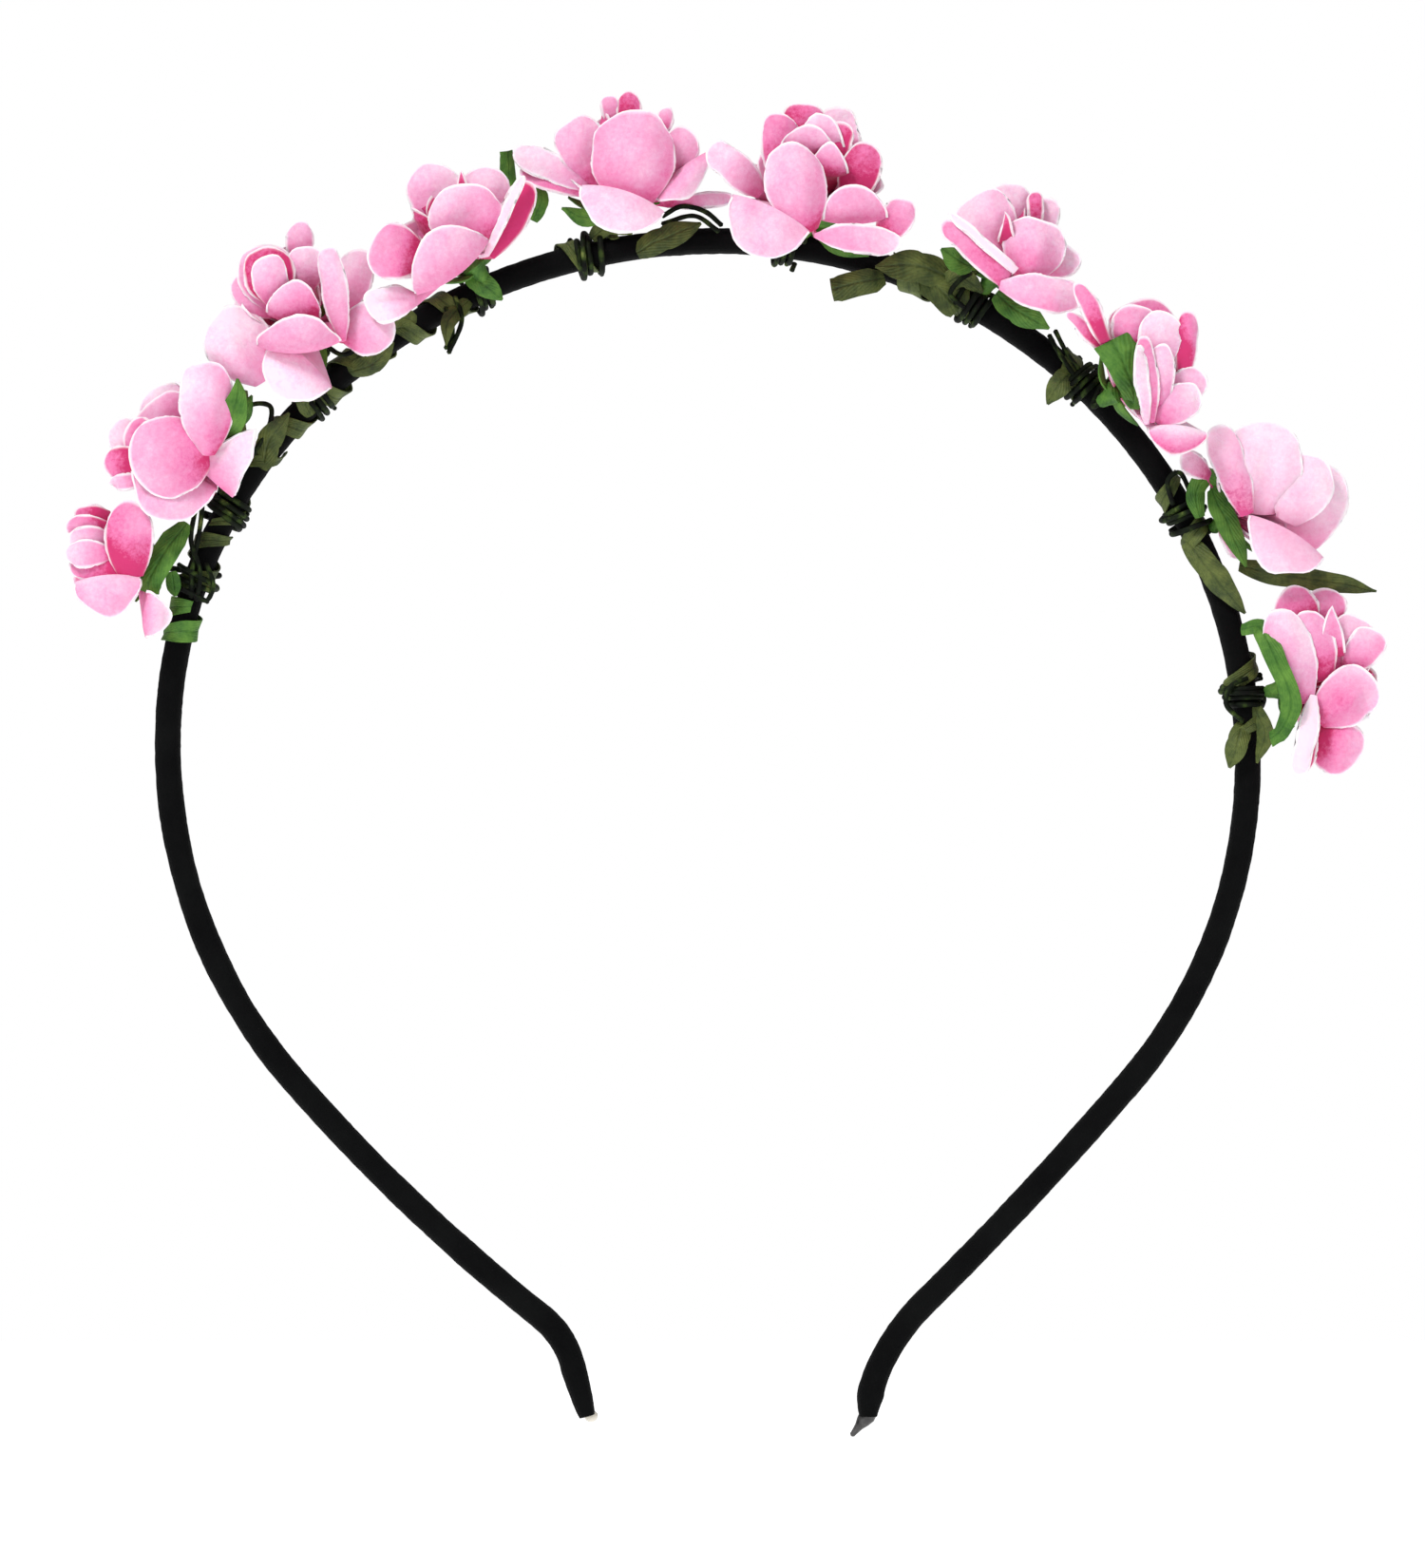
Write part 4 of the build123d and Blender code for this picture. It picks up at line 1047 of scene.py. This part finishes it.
def make_stem(rose):
    """The wrapped wire from one rose to the band and round it, with its loose strands."""
    wires = Wires(rose.name)
    s, turns, direction, angle = COILS[rose.name]
    coil = wires.coil(s, turns, direction, angle)
    lead = [rose.base - rose.axis * 1.6, rose.base - rose.axis * 3.4]
    gap = coil[0] - lead[-1]
    if gap.length > 2.4:
        lead.append(lead[-1] + gap * 0.5 + (coil[0] - band(s)[0]).normalized() * 0.5)
    wires.add(lead + coil, 0.38)
    wires.add(wires.coil(s - 0.9, 1.4, direction, angle + 150, lift=0.9, pitch=2.2), 0.32)
    for strand in STRANDS[rose.name]:
        wires.add([Vector((x, -near, z)) for x, z, near in strand], 0.33)
    piece = wires.make(f"{rose.name}_wire")
    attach(piece, "crown")
    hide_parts(f"{rose.name}_stem")


# ---------------------------------------------------------------- cut leaves and tape on the band
LEAVES = [
    ([(-58.3, 40.6, 2.2), (-57, 44.2, 4.4), (-54.8, 47.6, 4)], 3.2, -20, 20, "leaf"),
    ([(-60.6, 50.8, 2.2), (-61.6, 47.4, 3.6), (-60, 43.8, 3.4)], 2.4, 20, 0, "leaf"),
    ([(-51.6, 47.6, 2.2), (-52.6, 49.8, 4.4), (-50.8, 52.4, 4)], 2.8, 0, 40, "leaf"),
    ([(-46.6, 53.4, 2.2), (-43.4, 54.2, 4.4), (-41, 57, 4)], 2.8, 30, 0, "leaf"),
    ([(-37.8, 59.6, 2.2), (-40.4, 60.2, 4), (-42.8, 58.4, 4)], 2.6, 0, 30, "leaf"),
    ([(-31, 62.6, 2.2), (-33.6, 59.6, 4.4), (-34, 56.6, 4.4)], 2.4, 0, 50, "leaf"),
    ([(-9, 69, 2.2), (-5.4, 70.6, 4.2), (-0.6, 72.6, 3.8)], 3.4, 0, -20, "leaf"),
    ([(-14.8, 70.8, 2.2), (-12.4, 72.2, 3.8), (-9.4, 71.4, 3.8)], 2.4, 0, 20, "leaf"),
    ([(23.6, 65.8, 2.2), (20.6, 64.8, 4.2), (16.6, 63.9, 4)], 3.4, 0, 10, "strap"),
    ([(32.4, 65.4, 2.2), (27.4, 67, 4.8), (22.2, 66.8, 4.4)], 4.4, 0, 25, "leaf"),
    ([(27.6, 66, 2.2), (30.8, 63.9, 3.1), (33.4, 61.6, 2.9)], 3.8, 0, -15, "strap"),
    ([(31, 64.4, 2.2), (33.6, 65.6, 3.6), (36.4, 63.6, 3.2)], 2.6, 0, 30, "leaf"),
    ([(48.6, 53.4, 2.2), (46.4, 51.3, 4), (45, 48.8, 3.8)], 3.2, 0, 30, "leaf"),
    ([(70.2, 27.8, 2.2), (76, 26.4, 3.4), (82.2, 25.5, 3.2), (88.3, 24.5, 2.4)], 3.1, 0, 30, "leaf"),
    ([(63.4, 30.8, 2.2), (67, 26.3, 4.2), (70.8, 21.6, 3.6)], 3.3, 0, 25, "leaf"),
    ([(70.8, 7, 2.2), (69.8, 4.2, 3.8), (68.8, 1.3, 3.4)], 2.9, 0, 20, "leaf"),
    ([(72.4, 9.6, 2.2), (73.4, 5.6, 3.2), (72.4, 2, 3)], 2.2, 10, 40, "leaf"),
]
# Strips of green paper wound round the band: (from, to, turns, width, start angle)
WRAPS = [
    (15.0, 24.0, 1.6, 2.4, 60), (25.0, 38.0, 1.4, 1.8, -60),
    (39.0, 55.0, 2.6, 3.0, 30), (54.0, 73.0, 3.0, 2.6, -40), (83.0, 91.0, 1.4, 2.2, 90),
    (128.0, 141.0, 1.8, 3.4, 0), (153.0, 160.0, 1.3, 3.0, 40), (174.0, 184.0, 1.5, 2.6, -30),
    (199.0, 209.0, 1.5, 2.4, 60),
]


def wound_strip(sheets, begin, end, turns, width, start_angle):
    """A paper strip wound round the band in a helix."""
    steps = int(turns * 22)
    grid, tones = [], []
    for i in range(steps + 1):
        u = i / steps
        angle = start_angle - 360 * turns * u
        row = []
        for j in range(5):
            across = (j / 4 - 0.5) * width * (0.5 + 0.5 * min(1, 5 * u, 5 * (1 - u)))
            place = begin + (end - begin) * u + across
            lift = 0.24 + 0.16 * sin(3 * angle * pi / 180 + u * 9) + 0.1 * abs(j - 2)
            row.append(round_band(place, angle, lift + 0.12))
        grid.append(row)
        tones.append([(0.5, 0.6)] * 5)
    sheets.add(grid, 0.2, tones)


def make_leaves():
    sheets = Sheets()
    for points, width, start_roll, end_roll, kind in LEAVES:
        green_part(sheets, points, width, start_roll, end_roll, kind)
    for strip in WRAPS:
        wound_strip(sheets, *strip)
    piece = sheets.make("cut_leaves", [OLIVE, OLIVE, OLIVE_EDGE])
    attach(piece, "crown")
    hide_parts("paper_leaves")


# ---------------------------------------------------------------- covers and tips
SEAM = 115.0
BLEND_REACH = 9.0
PINCHED_TIP = 1.5  # the right cover's last stretch, where it is pinched to a nib


def make_cover(name, begin, end, blend_from, blend_to, replaced, thin_end=None):
    """The fabric tube over a stretch of the band, with its tips shaped as the real ones are."""
    sides, step = 28, 0.45
    count = int((end - begin) / step)
    verts, faces, uvs = [], [], []
    for i in range(count + 1):
        s = begin + (end - begin) * i / count
        point, along, outward = band(s)
        thick, wide = 1.0, 1.0
        if thin_end == "start":
            near = (s - begin)
            thick = 0.62 + 0.38 * min(1, near / 6) ** 0.7
            wide = 0.9 + 0.1 * min(1, near / 4)
        if thin_end == "end":
            near = (end - s)
            thick = (0.7 + 0.3 * min(1, near / 2.5)) * (1 + 0.05 * exp(-((near - 3) / 2) ** 2))
        thick *= 1 + 0.05 * noise.noise(Vector((s * 0.11, 3, 0))) + 0.02 * noise.noise(Vector((s * 0.5, 7, 0)))
        for k in range(sides):
            a = 2 * pi * k / sides
            c, d = cos(a), sin(a)
            n = (abs(c) ** 3 + abs(d) ** 3) ** (-1 / 3)
            fuzz = 0.05 * noise.noise(Vector((s * 1.4, 2 * c, 2 * d)))
            verts.append(point + outward * c * n * (HALF_THICKNESS * thick + fuzz)
                         + DEPTH * d * n * (HALF_WIDTH * wide + fuzz))
            uvs.append((k / sides * 26, s * 2.2))
    for i in range(count):
        for k in range(sides):
            a, b = i * sides + k, i * sides + (k + 1) % sides
            faces.append((a, b, b + sides, a + sides))
    for ring, s in ((0, begin), (count, end)):
        centre = len(verts)
        point, along, _ = band(s)
        verts.append(point)
        uvs.append((0, 0))
        for k in range(sides):
            a, b = ring * sides + k, ring * sides + (k + 1) % sides
            faces.append((centre, b, a) if ring == 0 else (centre, a, b))
    obj = build(name, verts, faces, [COVER], uvs=uvs, sharp=50)
    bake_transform(obj)
    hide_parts(*replaced)
    return obj


def make_covers():
    total = CROWN_LENGTH + RIGHT_LENGTH
    make_cover("left_cover", -LEFT_LENGTH, SEAM,
               band(-BLEND_REACH)[0] * MM, band(BLEND_REACH)[0] * MM,
               ["left_leg_cover", "crown_cover"], "start")
    make_cover("right_cover", SEAM, total - PINCHED_TIP,
               band(CROWN_LENGTH - BLEND_REACH)[0] * MM, band(CROWN_LENGTH + BLEND_REACH)[0] * MM,
               ["crown_cover", "right_leg_cover"], "end")


def make_tips():
    """The dab of glue on the left tip, and the pinched fabric at the right one."""
    point, along, outward = band(-LEFT_LENGTH)
    verts, faces, slots = [], [], []
    dab = [(-0.3, 0.7), (0.1, 0.92), (0.5, 0.85), (0.8, 0.6), (0.95, 0.25)]
    lathe(verts, faces, slots, point - outward * 0.5, -along, dab)
    glue = build("left_glue_dab", verts, faces, [GLUE], slots)
    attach(glue, "left_leg")
    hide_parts("left_tip_bead")
    point, along, outward = band(CROWN_LENGTH + RIGHT_LENGTH - PINCHED_TIP)
    verts, faces, slots = [], [], []
    nib = [(-1.0, 0.9), (0.0, 1.15), (0.9, 0.95), (1.8, 0.6), (2.6, 0.44), (3.2, 0.36), (3.4, 0.15)]
    lathe(verts, faces, slots, point - outward * 0.1, (along - outward * 0.75).normalized(), nib)
    shaped = build("right_glue_nib", verts, faces, [SOILED_GLUE], slots)
    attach(shaped, "right_leg")
    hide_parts("right_tip_nib")


make_covers()
make_tips()
make_leaves()
papers = {"rose_09": (SOFT_PETALS, PETALS), "rose_10": (PETALS, HOT_PETALS)}
for rose_name in ROSES:
    made = make_rose(rose_name, *papers.get(rose_name, (PETALS, HOT_PETALS)))
    make_calyx(made)
    make_stem(made)
for node in ("crown_core", "left_leg_core", "right_leg_core"):
    frame["nodes"][node].data.materials.clear()
    frame["nodes"][node].data.materials.append(STEEL)


# ---------------------------------------------------------------- floor, light and camera
AMBIENT = 0.46


FLOOR_DROP = 0.015  # clears the legs' tips when the legs are spread


def make_floor(z):
    material, tree, shader = new_material("pale_floor")
    cloud = noise_node(tree, 3.0, 2.0, 0.5)
    colours = ramp(tree, [(0.2, srgb(250, 250, 250)), (0.9, srgb(255, 255, 255))])
    tree.links.new(cloud.outputs["Fac"], colours.inputs["Fac"])
    tree.links.new(colours.outputs["Color"], shader.inputs["Base Color"])
    shader.inputs["Roughness"].default_value = 0.9
    shader.inputs["Specular IOR Level"].default_value = 0.0
    shader.inputs["Emission Color"].default_value = (1, 1, 1, 1)
    shader.inputs["Emission Strength"].default_value = 0.5
    mesh = bpy.data.meshes.new("floor")
    half = 0.45
    mesh.from_pydata([(-half, -half, z), (half, -half, z), (half, half, z), (-half, half, z)], [],
                     [(0, 1, 2, 3)])
    mesh.materials.append(material)
    floor = bpy.data.objects.new("floor", mesh)
    bpy.context.scene.collection.objects.link(floor)


def area_light(name, place, target, size, power):
    data = bpy.data.lights.new(name, "AREA")
    data.shape = "DISK"
    data.size = size
    data.energy = power
    light = bpy.data.objects.new(name, data)
    light.location = place
    light.rotation_mode = "QUATERNION"
    light.rotation_quaternion = (Vector(target) - Vector(place)).to_track_quat("-Z", "Y")
    bpy.context.scene.collection.objects.link(light)


def make_stage(low):
    make_floor(low - FLOOR_DROP)
    world = bpy.data.worlds.new("studio")
    world.use_nodes = True
    tree = world.node_tree
    seen = tree.nodes.new("ShaderNodeLightPath").outputs["Is Camera Ray"]
    tree.nodes["Background"].inputs["Color"].default_value = (1, 1, 1, 1)
    strength = math_node(tree, "MULTIPLY_ADD", seen, 1 - AMBIENT)
    strength.node.inputs[2].default_value = AMBIENT
    tree.links.new(strength, tree.nodes["Background"].inputs["Strength"])
    bpy.context.scene.world = world
    area_light("key", (-0.45, -0.6, 0.8), (0, 0, 0.03), 0.3, 7.8)
    area_light("fill", (0.6, -0.8, 0.1), (0, 0, 0.03), 0.5, 1.6)
    bpy.context.scene.view_settings.view_transform = "Standard"


def make_camera():
    data = bpy.data.cameras.new("camera")
    distance, height_seen = 1.2, 0.20625
    data.sensor_width = 36
    data.lens = 36 * distance / height_seen
    data.clip_end = 20
    camera = bpy.data.objects.new("camera", data)
    camera.location = (0.001, -distance, -0.0009)
    camera.rotation_euler = (pi / 2, 0, 0)
    bpy.context.scene.collection.objects.link(camera)
    bpy.context.scene.camera = camera


visual_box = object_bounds()
make_stage(visual_box[0].z)
make_camera()
